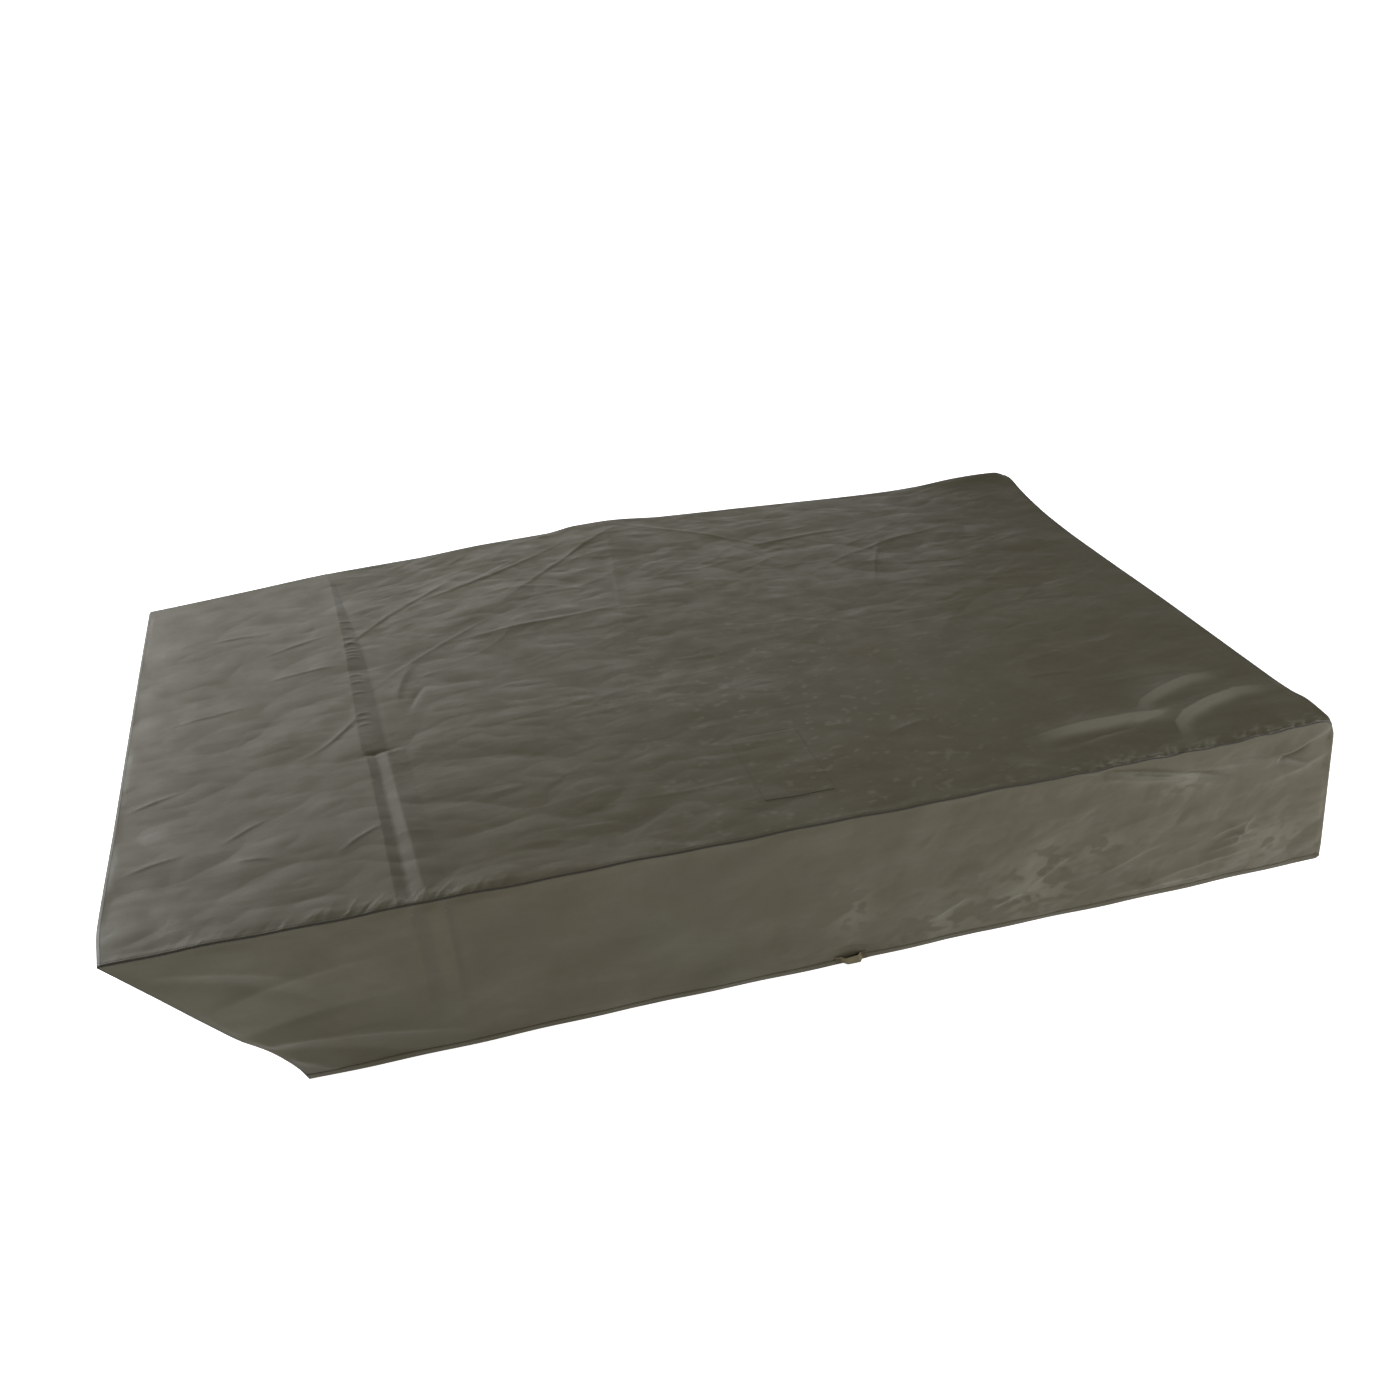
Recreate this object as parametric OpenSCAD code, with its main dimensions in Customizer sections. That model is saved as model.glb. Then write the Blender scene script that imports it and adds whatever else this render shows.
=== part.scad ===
// Boxed bivy sack, standing as if filled: flat roof, straight walls, raked foot and a zipped head flap.
// +X runs to the head end, +Y to the back wall, +Z up. The ground is z = 0, and the origin is the
// middle of the sack's box on the ground.

/* [Roof and walls] */
// Length of the roof from the foot seam to the head seam
roof_len = 2200; // [2000:10:2400]
// Width at the foot seam
foot_w = 1170; // [900:10:1250]
// Width at the head seam
head_w = 1250; // [1000:10:1400]
// Height of the roof at the foot
foot_h = 333; // [250:1:420]
// Height of the roof at the head
head_h = 354; // [270:1:450]
// How far the foot wall's lower edge sits inboard of its upper edge
foot_rake = 250; // [100:5:350]
// How far the head end's lower edge stands outboard of its upper edge
head_flare = 80; // [40:1:110]
// How far the back edge of the roof is drawn up at mid-length
back_rise = 42; // [10:1:60]
// How far the back edge of the roof bellies outward at mid-length
back_bow = 50; // [10:1:80]
// Thickness that stands for one layer of coated cloth
cloth_t = 2; // [1:0.5:3]

/* [Trim] */
// Thickness of tapes, hems and bindings
tape_t = 1.2; // [0.8:0.1:1.5]
// Width of the sealing tape inside the seams
seam_tape_w = 22; // [15:1:30]
// Height of the hems
hem_w = 12; // [8:1:20]
// Length of a peg loop along the hem, its two sewn ends included
loop_len = 62; // [50:1:80]
// Width of the peg loop's webbing
loop_w = 16; // [12:1:20]
// How far a peg loop stands off the hem
loop_gap = 7; // [5:0.5:10]
// Distance of the side peg loops from the roof's middle, towards the head
loop_x = 130; // [0:10:300]
// Length of the patch under the roof
patch_len = 136; // [100:1:200]
// Width of the patch under the roof
patch_w = 200; // [150:1:250]
// Distance of the patch's foot-side edge from the roof's middle, towards the head
patch_x = -18; // [-100:1:100]
// Distance of the patch from the front seam
patch_in = 85; // [40:1:150]
// Thickness of the patch
patch_t = 1; // [0.8:0.1:1.5]

/* [Head end] */
// Height of the fixed valance, measured down the slope
valance_h = 40; // [38:1:60]
// Height of the sill, measured up the slope
sill_h = 70; // [50:1:100]
// How far the flap laps over the outside of the sill
flap_lap = 22; // [18:1:30]
// Width of the hook strip and of the loop strip
strip_w = 14; // [10:1:16]

/* [Zips] */
// Distance from a side wall's outer face to its zip's centre line
zip_inset = 24; // [20:1:40]
// Width of the zip tape beside each coil
zip_tape_w = 18; // [14:1:20]
// Width of one coil
coil_w = 3.2; // [2.6:0.1:3.6]
// Thickness of the coils
coil_t = 3; // [2.5:0.1:3.2]
// Length of the slider body
slider_len = 12; // [10:0.5:14]
// Length of the pull tab
tab_len = 24; // [18:1:30]

/* [Hidden] */
$fn = 48;
fabric = [0.34, 0.325, 0.265];
trim = [0.27, 0.26, 0.21];
webbing = [0.36, 0.33, 0.22];
metal = [0.25, 0.25, 0.24];

clear = 0.3;                                             // gap between pieces that only pass each other
tape_inset = 30;                                         // a tape or strip ends this far from a corner
thin = 1;                                                // zip tape thickness
half_len = roof_len / 2;
side_angle = atan((head_w - foot_w) / 2 / roof_len);     // plan angle of each side wall
rake_angle = atan(foot_rake / foot_h);                   // lean of the foot wall from upright
flare_angle = atan(head_flare / head_h);                 // lean of the head end from upright
wall_len = roof_len / cos(side_angle);
flare_len = head_flare / cos(side_angle);
rake_len = foot_rake / cos(side_angle);
top_gap = cloth_t + 0.2;                                 // walls stop this far below the roof's upper face

// The wavy edge at the back: 0 at both ends and 1 at mid-length
function swell(u) = pow(max(sin(180 * u), 0), 1.3);
function half_w(x) = (foot_w + (head_w - foot_w) * (x + half_len) / roof_len) / 2;
function roof_plane(u) = foot_h + (head_h - foot_h) * u;
function roof_x(u) = -half_len + roof_len * u;
function roof_y(u, v) = -half_w(roof_x(u)) + v * (2 * half_w(roof_x(u)) + back_bow * swell(u));
function roof_z(u, v) = roof_plane(u) + back_rise * swell(u) * v * v;
function roof_point(u, v) = [roof_x(u), roof_y(u, v), roof_z(u, v)];

// The back wall is straight for its lowest eighth, then bellies out to meet the roof's back edge.
belly_from = 0.125;
back_rows = [1, 0.85, 0.7, 0.55, 0.4, 0.25, belly_from, 0];
grid_u = 28;                                             // steps along the roof and the back wall
grid_v = 8;                                              // steps across the roof
function belly(s) = pow(max(s - belly_from, 0) / (1 - belly_from), 1.4);
function back_x(u, s) = -half_len + foot_rake * (1 - s)
    + u * (roof_len + (head_flare - foot_rake) * (1 - s));
function back_y(u, s) = half_w(back_x(u, s)) + back_bow * swell(u) * belly(s);
function back_point(u, s) = [back_x(u, s), back_y(u, s), s * (roof_z(u, 1) - top_gap)];

// Height, in a leaning end's own frame, at which a point x in front of it meets the ground
function ground(h, angle, x) = -(h + x * sin(angle)) / cos(angle);

// Head end, in its own frame: z runs down the slope from the head seam, x is outward.
sill_x = -4;                                             // inner face of the sill
sill_bottom = ground(head_h, flare_angle, sill_x);
sill_top = ground(head_h, flare_angle, 0) + sill_h;
hinge_z = -valance_h + 4;                                // just above the valance's lower edge
flap_top = hinge_z - 2.2;                                // the flap starts below the hinge seam
flap_bottom = sill_top - flap_lap;
strip_z = flap_bottom + 4;
strip_t = 0.8;
zip_y = head_w / 2 - zip_inset;
zip_x = -0.5;                                            // mid-plane of both coils
coil_gap = 0.6;                                          // from the centre line to a coil
coil_out = coil_gap + coil_w;
flap_side = 8;                                           // from the zip's centre line to the flap's edge
flap_half = zip_y - flap_side;
strip_half = flap_half - tape_inset;
zip_top = -valance_h - 2;
stop_h = 4;
box_h = 5;
box_z = sill_top + 1;
park_z = box_z + box_h + 0.5 + slider_len / 2;           // slider's centre at rest, unzipped
pin_z = park_z + slider_len / 2 + 1.5;
pin_h = 10;
coil_top = zip_top - stop_h - 0.2;

// The box of the whole sack, which sets the origin
loop_out = tape_t + loop_gap + tape_t;
loop_z = 2;
x_max = half_len + (loop_out - 2) * cos(flare_angle)
    - (ground(head_h, flare_angle, sill_x) + loop_z) * sin(flare_angle);
y_min = -half_w(half_len + head_flare) - tape_t / cos(side_angle);
y_max = half_w(0) + back_bow;
mid = [(x_max - half_len) / 2, (y_max + y_min) / 2, 0];

// ---- Frames ----

module place() { translate(-mid) children(); }

// A side wall's frame: x along the wall from the foot seam, y inward, z up
module side_frame(side) {
    place() mirror([0, side > 0 ? 1 : 0, 0])
        translate([-half_len, -foot_w / 2, 0]) rotate([0, 0, -side_angle]) children();
}

// A leaning end's frame: y across the sack, z down the slope from the roof
module end_frame(x, h, angle) { place() translate([x, 0, h]) rotate([0, -angle, 0]) children(); }
module head_frame() { end_frame(half_len, head_h, flare_angle) children(); }
module foot_frame() { end_frame(-half_len, foot_h, rake_angle) children(); }

// The head end's frame for one side's zip: y runs outboard from the zip's centre line
module zip_frame(side) {
    head_frame() mirror([0, side > 0 ? 0 : 1, 0]) translate([0, zip_y, 0]) children();
}

// ---- Building blocks ----

// Flat cloth in a side wall's frame, from outline points [along, up]
module side_sheet(points, y, t) {
    translate([0, y + t, 0]) rotate([90, 0, 0]) linear_extrude(t) polygon(points);
}

// Flat cloth in an end's frame, from its lower to its upper edge, with half widths for both edges
module end_sheet(z0, z1, half0, half1, x, t) {
    translate([x, 0, 0]) rotate([90, 0, 90]) linear_extrude(t)
        polygon([[-half0, z0], [half0, z0], [half1, z1], [-half1, z1]]);
}

// Curved cloth: a grid of points and the same grid moved by the cloth's thickness
module cloth(grid, move) {
    nu = len(grid);
    nv = len(grid[0]);
    upper = [for (row = grid, p = row) p];
    lower = [for (p = upper) p + move];
    n = nu * nv;
    function at(i, j) = i * nv + j;
    polyhedron(
        points = concat(upper, lower),
        faces = concat(
            [for (i = [0:nu - 2], j = [0:nv - 2], k = [0:1])
                k == 0 ? [at(i, j), at(i, j + 1), at(i + 1, j + 1)]
                       : [at(i, j), at(i + 1, j + 1), at(i + 1, j)]],
            [for (i = [0:nu - 2], j = [0:nv - 2], k = [0:1])
                k == 0 ? [n + at(i, j), n + at(i + 1, j + 1), n + at(i, j + 1)]
                       : [n + at(i, j), n + at(i + 1, j), n + at(i + 1, j + 1)]],
            [for (i = [0:nu - 2], e = [0, nv - 1], k = [0:1]) rim(at(i, e), at(i + 1, e), n, e > 0, k)],
            [for (j = [0:nv - 2], e = [0, nu - 1], k = [0:1]) rim(at(e, j), at(e, j + 1), n, e == 0, k)]
        )
    );
}

// One of the two triangles that close the cloth's edge between the points a and b
function rim(a, b, n, flip, k) =
    let (t = k == 0 ? [a, b, n + b] : [a, n + b, n + a]) flip ? [t[2], t[1], t[0]] : t;

// A webbing strap sewn down at both ends and standing off between them: x along, y outward
module peg_loop() {
    end = 11;
    slope = 7;
    half = loop_len / 2;
    outer = [[-half, tape_t], [-half, 0], [-half + end, 0], [-half + end + slope, loop_gap],
             [half - end - slope, loop_gap], [half - end, 0], [half, 0], [half, tape_t]];
    far = [[half - end, tape_t], [half - end - slope, loop_gap + tape_t],
           [-half + end + slope, loop_gap + tape_t], [-half + end, tape_t]];
    linear_extrude(loop_w) polygon(concat(outer, far));
}

// ---- Cloth panels ----

module roof_panel() {
    color(fabric) place()
        cloth([for (i = [0:grid_u]) [for (j = [0:grid_v]) roof_point(i / grid_u, j / grid_v)]],
            [0, 0, -cloth_t]);
}

module wall_outline(side) {
    side_frame(side) side_sheet([
        [0, foot_h - top_gap], [rake_len, 0], [wall_len + flare_len, 0], [wall_len, head_h - top_gap]
    ], 0, cloth_t);
}
module front_wall() { color(fabric) wall_outline(-1); }

module back_wall() {
    color(fabric) place()
        cloth([for (i = [0:grid_u]) [for (s = back_rows) back_point(i / grid_u, s)]], [0, -cloth_t, 0]);
}

module foot_wall() {
    z1 = -(cloth_t + clear + cloth_t * sin(rake_angle)) / cos(rake_angle);
    color(fabric) foot_frame()
        end_sheet(ground(foot_h, rake_angle, 0), z1,
            half_w(foot_rake - half_len) - cloth_t - clear, half_w(-half_len) - cloth_t - clear, 0, cloth_t);
}

module floor_panel() {
    x0 = foot_rake - half_len + cloth_t / cos(rake_angle) + clear;
    x1 = half_len + head_flare + sill_x / cos(flare_angle) - clear - cloth_t * tan(flare_angle);
    y0 = half_w(x0) - cloth_t - clear;
    y1 = half_w(x1) - cloth_t - clear;
    color(fabric) place() linear_extrude(cloth_t) polygon([[x0, -y0], [x1, -y1], [x1, y1], [x0, y0]]);
}

module roof_patch() {
    drop = 1.6;                                          // keeps its upper face clear of the sloping roof
    z = roof_plane(0.5) - cloth_t - drop;
    color(trim) place() translate([patch_x, -half_w(0) + patch_in, z])
        rotate([0, -atan((head_h - foot_h) / roof_len), 0]) cube([patch_len, patch_w, patch_t]);
}

// ---- Seam tapes and hems ----

module seam_tape_front() {
    z0 = foot_h - top_gap - clear;
    z1 = head_h - top_gap - clear;
    a = tape_inset;
    b = wall_len - tape_inset;
    slope = (z1 - z0) / wall_len;
    color(trim) side_frame(-1) side_sheet([
        [a, z0 + a * slope], [b, z0 + b * slope],
        [b, z0 + b * slope - seam_tape_w], [a, z0 + a * slope - seam_tape_w]
    ], cloth_t, tape_t);
}

module seam_tape_back() {
    high = 0.995;                                        // just under the seam, as a share of the height
    low = 1 - seam_tape_w / foot_h;
    u0 = 0.02;                                           // the tape stops this share short of each end
    color(trim) place() translate([0, -cloth_t - 2 * clear, 0])
        cloth([for (i = [0:grid_u]) [for (s = [high, low]) back_point(u0 + (1 - 2 * u0) * i / grid_u, s)]],
            [0, -tape_t, 0]);
}

module seam_tape_foot() {
    z1 = -3 * cloth_t / cos(rake_angle);
    half = half_w(-half_len) - tape_inset;
    color(trim) foot_frame() end_sheet(z1 - seam_tape_w, z1, half, half, cloth_t, tape_t);
}

module corner_tape(side) {
    z0 = ground(foot_h, rake_angle, cloth_t) + 12;
    z1 = -40;
    y0 = half_w(foot_rake - half_len) - cloth_t - 2;
    y1 = half_w(-half_len) - cloth_t - 1;
    color(trim) foot_frame() mirror([0, side > 0 ? 0 : 1, 0]) translate([cloth_t, 0, 0])
        rotate([90, 0, 90]) linear_extrude(tape_t)
            polygon([[y0 - seam_tape_w, z0], [y0, z0], [y1, z1], [y1 - seam_tape_w, z1]]);
}
module corner_tape_front() { corner_tape(-1); }
module corner_tape_back() { corner_tape(1); }

module side_hem(side) {
    up = hem_w / foot_h * rake_len;
    out = hem_w / head_h * flare_len;
    color(trim) side_frame(side) side_sheet([
        [rake_len, 0], [wall_len + flare_len, 0], [wall_len + flare_len - out, hem_w], [rake_len - up, hem_w]
    ], -tape_t, tape_t);
}
module hem_front() { side_hem(-1); }
module hem_back() { side_hem(1); }

module hem_foot() {
    z0 = ground(foot_h, rake_angle, -tape_t);
    half = half_w(foot_rake - half_len) - cloth_t;
    color(trim) foot_frame() end_sheet(z0, z0 + hem_w, half, half, -tape_t, tape_t);
}

module hem_head() {
    half = half_w(half_len + head_flare) - cloth_t - 1;
    color(trim) head_frame()
        end_sheet(sill_bottom, sill_bottom + hem_w, half, half, sill_x + cloth_t, tape_t);
}

// ---- Peg loops ----

module side_loop(side) {
    color(webbing) side_frame(side) translate([half_len + loop_x, -tape_t, loop_z])
        mirror([0, 1, 0]) peg_loop();
}
module peg_loop_front() { side_loop(-1); }
module peg_loop_back() { side_loop(1); }

module peg_loop_foot() {
    z0 = ground(foot_h, rake_angle, -loop_out - tape_t) + loop_z;
    color(webbing) foot_frame() translate([-tape_t, 0, z0]) rotate([0, 0, 90]) peg_loop();
}

module peg_loop_head() {
    color(webbing) head_frame() translate([sill_x + cloth_t + tape_t, 0, sill_bottom + loop_z])
        rotate([0, 0, -90]) peg_loop();
}

// ---- Head end ----

module head_valance() {
    half = half_w(half_len) - cloth_t - clear;
    color(fabric) head_frame()
        end_sheet(-valance_h, -top_gap, half, half, -cloth_t - clear, cloth_t);
}

module head_sill() {
    half0 = half_w(half_len + head_flare) - cloth_t - clear - 0.2;
    slope = norm([head_h, head_flare]);
    half1 = half_w(half_len + head_flare * (1 - sill_h / slope)) - cloth_t - clear - 0.2;
    color(fabric) head_frame() end_sheet(sill_bottom, sill_top, half0, half1, sill_x, cloth_t);
}

module loop_strip() {
    color(trim) head_frame()
        end_sheet(strip_z, strip_z + strip_w, strip_half, strip_half, sill_x + cloth_t, strip_t);
}

module flap_binding() {
    z0 = hinge_z + 2.8;                                  // above the flap, which turns about the hinge
    binding_w = 10;
    binding_t = 1.8;
    color(trim) head_frame() end_sheet(z0, z0 + binding_w, zip_y, zip_y, -clear, binding_t);
}

// The flap hangs from its hinge seam on the outside of the valance and laps over the sill.
module head_flap() {
    color(fabric) head_frame() end_sheet(flap_bottom, flap_top, flap_half, flap_half, 0, cloth_t);
}

module hook_strip() {
    color(trim) head_frame()
        end_sheet(strip_z, strip_z + strip_w, strip_half, strip_half, -strip_t, strip_t);
}

module flap_hem() {
    color(trim) head_frame()
        end_sheet(flap_bottom, flap_bottom + hem_w, flap_half, flap_half, cloth_t, tape_t);
}

// ---- Zips ----

module zip_tape(side) {
    z0 = sill_top - 8;
    z1 = -valance_h - clear;
    w = zip_inset - cloth_t - 0.1;
    color(trim) zip_frame(side) translate([-thin, coil_out, z0]) cube([thin, w - coil_out, z1 - z0]);
}
module zip_tape_front() { zip_tape(-1); }
module zip_tape_back() { zip_tape(1); }

module zip_coil(side) {
    z0 = box_z + box_h + 0.2;
    color(metal) zip_frame(side) translate([zip_x - coil_t / 2, coil_gap, z0])
        cube([coil_t, coil_w, coil_top - z0]);
}
module zip_coil_front() { zip_coil(-1); }
module zip_coil_back() { zip_coil(1); }

module zip_stop(side) {
    color(metal) zip_frame(side) translate([zip_x - 1.9, coil_gap - 0.2, zip_top - stop_h])
        cube([3.8, coil_w, stop_h]);
}
module zip_stop_front() { zip_stop(-1); }
module zip_stop_back() { zip_stop(1); }

// The retainer box at the foot of the fixed coil, with its pocket for the flap's pin
module zip_box(side) {
    color(metal) zip_frame(side) difference() {
        translate([zip_x - 2.2, -coil_out, box_z]) cube([4.4, 2 * coil_out - 0.2, box_h]);
        translate([zip_x - 1.4, -coil_out + 0.5, box_z + 1]) cube([2.8, 2.8, box_h]);
    }
}
module zip_box_front() { zip_box(-1); }
module zip_box_back() { zip_box(1); }

module flap_tape(side) {
    z0 = pin_z;
    color(trim) zip_frame(side) translate([-thin, -coil_out - zip_tape_w, z0])
        cube([thin, zip_tape_w, flap_top - z0 - 2]);
}
module flap_tape_front() { flap_tape(-1); }
module flap_tape_back() { flap_tape(1); }

module flap_coil(side) {
    z0 = pin_z + pin_h + 0.2;
    color(metal) zip_frame(side) translate([zip_x - coil_t / 2, -coil_out, z0])
        cube([coil_t, coil_w, coil_top - z0]);
}
module flap_coil_front() { flap_coil(-1); }
module flap_coil_back() { flap_coil(1); }

module zip_pin(side) {
    color(metal) zip_frame(side) translate([zip_x - 1.1, -coil_out + 0.2, pin_z]) cube([2.2, 2.4, pin_h]);
}
module zip_pin_front() { zip_pin(-1); }
module zip_pin_back() { zip_pin(1); }

// Slider: two plates joined by a post between the coils, side flanges that leave slots for the
// tapes, and two ears that carry the pull tab's pivot
plate_t = 1.2;
channel = coil_t + 0.8;
slider_half = coil_out + 1.8;
pivot_r = 0.8;
pivot_x = zip_x + channel / 2 + plate_t + 2.3;
pivot_z = 2.5;
tape_slot = 1.6;

module slider(side) {
    flange_w = 1.1;
    flange_t = (channel - tape_slot) / 2;
    color(metal) zip_frame(side) translate([zip_x, 0, park_z]) {
        for (x = [-channel / 2 - plate_t, channel / 2])
            translate([x, -slider_half, -slider_len / 2]) cube([plate_t, 2 * slider_half, slider_len]);
        translate([-channel / 2, -0.3, slider_len / 2 - 4]) cube([channel, 0.6, 4]);
        for (y = [-slider_half, slider_half - flange_w], x = [-channel / 2, tape_slot / 2])
            translate([x, y, -slider_len / 2]) cube([flange_t, flange_w, slider_len]);
        for (y = [-3, 2.2])
            translate([channel / 2 + plate_t, y, pivot_z - 1.6]) cube([3.4, 0.8, 3.2]);
        translate([pivot_x - zip_x, -2.4, pivot_z]) rotate([-90, 0, 0]) cylinder(h = 4.8, r = pivot_r);
    }
}
module slider_front() { slider(-1); }
module slider_back() { slider(1); }

// Pull tab: an eye round the slider's pivot and a flat grip with a hole for a pull cord
module pull_tab(side) {
    eye_r = 1.9;
    grip_w = 7;
    color(metal) zip_frame(side) translate([pivot_x, 0, park_z + pivot_z]) {
        difference() {
            union() {
                translate([0, -1.9, 0]) rotate([-90, 0, 0]) cylinder(h = 3.8, r = eye_r);
                translate([-0.6, -1.9, -6]) cube([1.2, 3.8, 5.5]);
            }
            translate([0, -3, 0]) rotate([-90, 0, 0]) cylinder(h = 6, r = pivot_r + 0.08);
        }
        difference() {
            translate([-0.6, -grip_w / 2, -tab_len]) cube([1.2, grip_w, tab_len - 5]);
            translate([-1, 0, -tab_len + 3.5]) rotate([0, 90, 0]) cylinder(h = 2, r = 1.6);
        }
    }
}
module pull_tab_front() { pull_tab(-1); }
module pull_tab_back() { pull_tab(1); }

roof_panel();
front_wall();
back_wall();
foot_wall();
floor_panel();
seam_tape_front();
seam_tape_back();
seam_tape_foot();
corner_tape_front();
corner_tape_back();
hem_front();
hem_back();
hem_foot();
hem_head();
peg_loop_front();
peg_loop_back();
peg_loop_foot();
peg_loop_head();
roof_patch();
head_valance();
head_sill();
loop_strip();
flap_binding();
head_flap();
hook_strip();
flap_hem();
zip_tape_front();
zip_coil_front();
zip_stop_front();
zip_box_front();
zip_tape_back();
zip_coil_back();
zip_stop_back();
zip_box_back();
flap_tape_front();
flap_coil_front();
zip_pin_front();
flap_tape_back();
flap_coil_back();
zip_pin_back();
slider_front();
pull_tab_front();
slider_back();
pull_tab_back();
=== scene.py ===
import math
import bpy
import numpy as np
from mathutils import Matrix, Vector


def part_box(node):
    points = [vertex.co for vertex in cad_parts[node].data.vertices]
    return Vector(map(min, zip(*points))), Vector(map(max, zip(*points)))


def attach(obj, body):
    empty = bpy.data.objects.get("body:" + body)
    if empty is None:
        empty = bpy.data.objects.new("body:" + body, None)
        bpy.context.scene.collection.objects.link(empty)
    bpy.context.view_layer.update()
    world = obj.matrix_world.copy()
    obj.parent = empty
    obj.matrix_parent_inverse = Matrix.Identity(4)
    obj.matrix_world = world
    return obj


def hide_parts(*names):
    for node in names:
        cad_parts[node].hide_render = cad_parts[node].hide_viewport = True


# Boxed bivy sack. Lengths are in metres, in a design frame whose x = 0 is the middle of the roof's
# length and y = 0 the middle of its width; row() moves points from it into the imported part's frame.

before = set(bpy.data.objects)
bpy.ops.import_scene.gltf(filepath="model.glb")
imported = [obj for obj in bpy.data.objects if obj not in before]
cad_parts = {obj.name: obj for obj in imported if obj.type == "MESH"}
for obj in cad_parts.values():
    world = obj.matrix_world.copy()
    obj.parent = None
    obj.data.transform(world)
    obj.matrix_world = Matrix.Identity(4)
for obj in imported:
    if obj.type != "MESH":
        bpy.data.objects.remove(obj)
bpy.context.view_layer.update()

# ---- Driving sizes, the same as the part's ----
ROOF_LEN, FOOT_W, HEAD_W = 2.2, 1.17, 1.25
FOOT_H, HEAD_H = 0.333, 0.354
FOOT_RAKE, HEAD_FLARE, BACK_BOW = 0.25, 0.08, 0.05
HALF = ROOF_LEN / 2
HEM_W, SILL_H, VALANCE_H, FLAP_LAP = 0.012, 0.07, 0.04, 0.022
ZIP_INSET = 0.024
EDGE_R = 0.003            # radius of the fold at the front and foot edges
ROOF_ACROSS, WALL_UP = 1.24, 0.345   # nominal breadth of the roof and height of the walls, for their grids
PATCH_LEN, PATCH_W, PATCH_IN = 0.136, 0.200, 0.085
PATCH_A = HALF - 0.018    # distance of the patch from the roof's foot edge
LEAN = math.atan(HEAD_FLARE / HEAD_H)
RAKE = math.atan(FOOT_RAKE / FOOT_H)
FOOT_SLOPE = math.hypot(FOOT_RAKE, FOOT_H)   # height of the foot wall, measured down its slope
LEAST_Z = 0.0006          # cloth near the ground stays this far above it
CLOTH_T, TRIM_T = 0.0008, 0.0006   # thickness of the walls' cloth, and of the floor, tapes and hems

roof_lo, roof_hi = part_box("roof_panel")
MID = np.array([-HALF - roof_lo[0], (FOOT_W + HEAD_W) / 4 + BACK_BOW - roof_hi[1], 0.0])


def row(p):
    """Points in the design frame, moved into the part's frame."""
    return np.asarray(p, float) - MID


# ---- Small numeric helpers ----

def curve(t, points):
    """A smooth curve through (t, value) points, flat where the points turn."""
    x, y = np.array(points, float).T
    slope = np.diff(y) / np.diff(x)
    tangent = np.zeros_like(y)
    same = slope[:-1] * slope[1:] > 0
    mean = 2 * slope[:-1] * slope[1:] / np.where(same, slope[:-1] + slope[1:], 1)
    tangent[1:-1] = np.where(same, mean, 0)
    tangent[0], tangent[-1] = slope[0], slope[-1]
    t = np.clip(t, x[0], x[-1])
    i = np.clip(np.searchsorted(x, t, side="right") - 1, 0, len(x) - 2)
    h = x[i + 1] - x[i]
    s = (t - x[i]) / h
    return (y[i] * (1 + 2 * s) * (1 - s) ** 2 + y[i + 1] * s * s * (3 - 2 * s)
            + h * (tangent[i] * s * (1 - s) ** 2 - tangent[i + 1] * s * s * (1 - s)))


def smooth(a, b, t):
    s = np.clip((np.asarray(t, float) - a) / (b - a), 0, 1)
    return s * s * (3 - 2 * s)


def bell(t, centre, width):
    return np.exp(-((np.asarray(t, float) - centre) / width) ** 2)


def rough(shape, step, size, seed):
    """A smooth random field with unit spread on a grid: step and size are (along, across) in metres."""
    white = np.random.default_rng(seed).standard_normal(shape)
    fu = np.fft.fftfreq(shape[0], step[0])[:, None]
    fv = np.fft.fftfreq(shape[1], step[1])[None, :]
    field = np.fft.ifft2(np.fft.fft2(white) * np.exp(-2 * ((fu * size[0]) ** 2 + (fv * size[1]) ** 2))).real
    return field / field.std()


def rough_at(a, b, size, seed):
    """The same kind of field read at any points (a, b), whatever their spacing."""
    step = (size[0] / 5, size[1] / 5)
    la, lb = a.min() - step[0], b.min() - step[1]
    shape = (int((a.max() - la) / step[0]) + 3, int((b.max() - lb) / step[1]) + 3)
    field = rough(shape, step, size, seed)
    fa, fb = (a - la) / step[0], (b - lb) / step[1]
    i, j = fa.astype(int), fb.astype(int)
    s, t = fa - i, fb - j
    return ((1 - s) * (1 - t) * field[i, j] + s * (1 - t) * field[i + 1, j]
            + (1 - s) * t * field[i, j + 1] + s * t * field[i + 1, j + 1])


def crumpled(a, b, size, seed):
    """Flat facets meeting in sharp creases, like cloth that has been crushed: unit spread, zero mean."""
    field = np.abs(rough_at(a, b, size, seed))
    return (field - field.mean()) / field.std()


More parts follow.
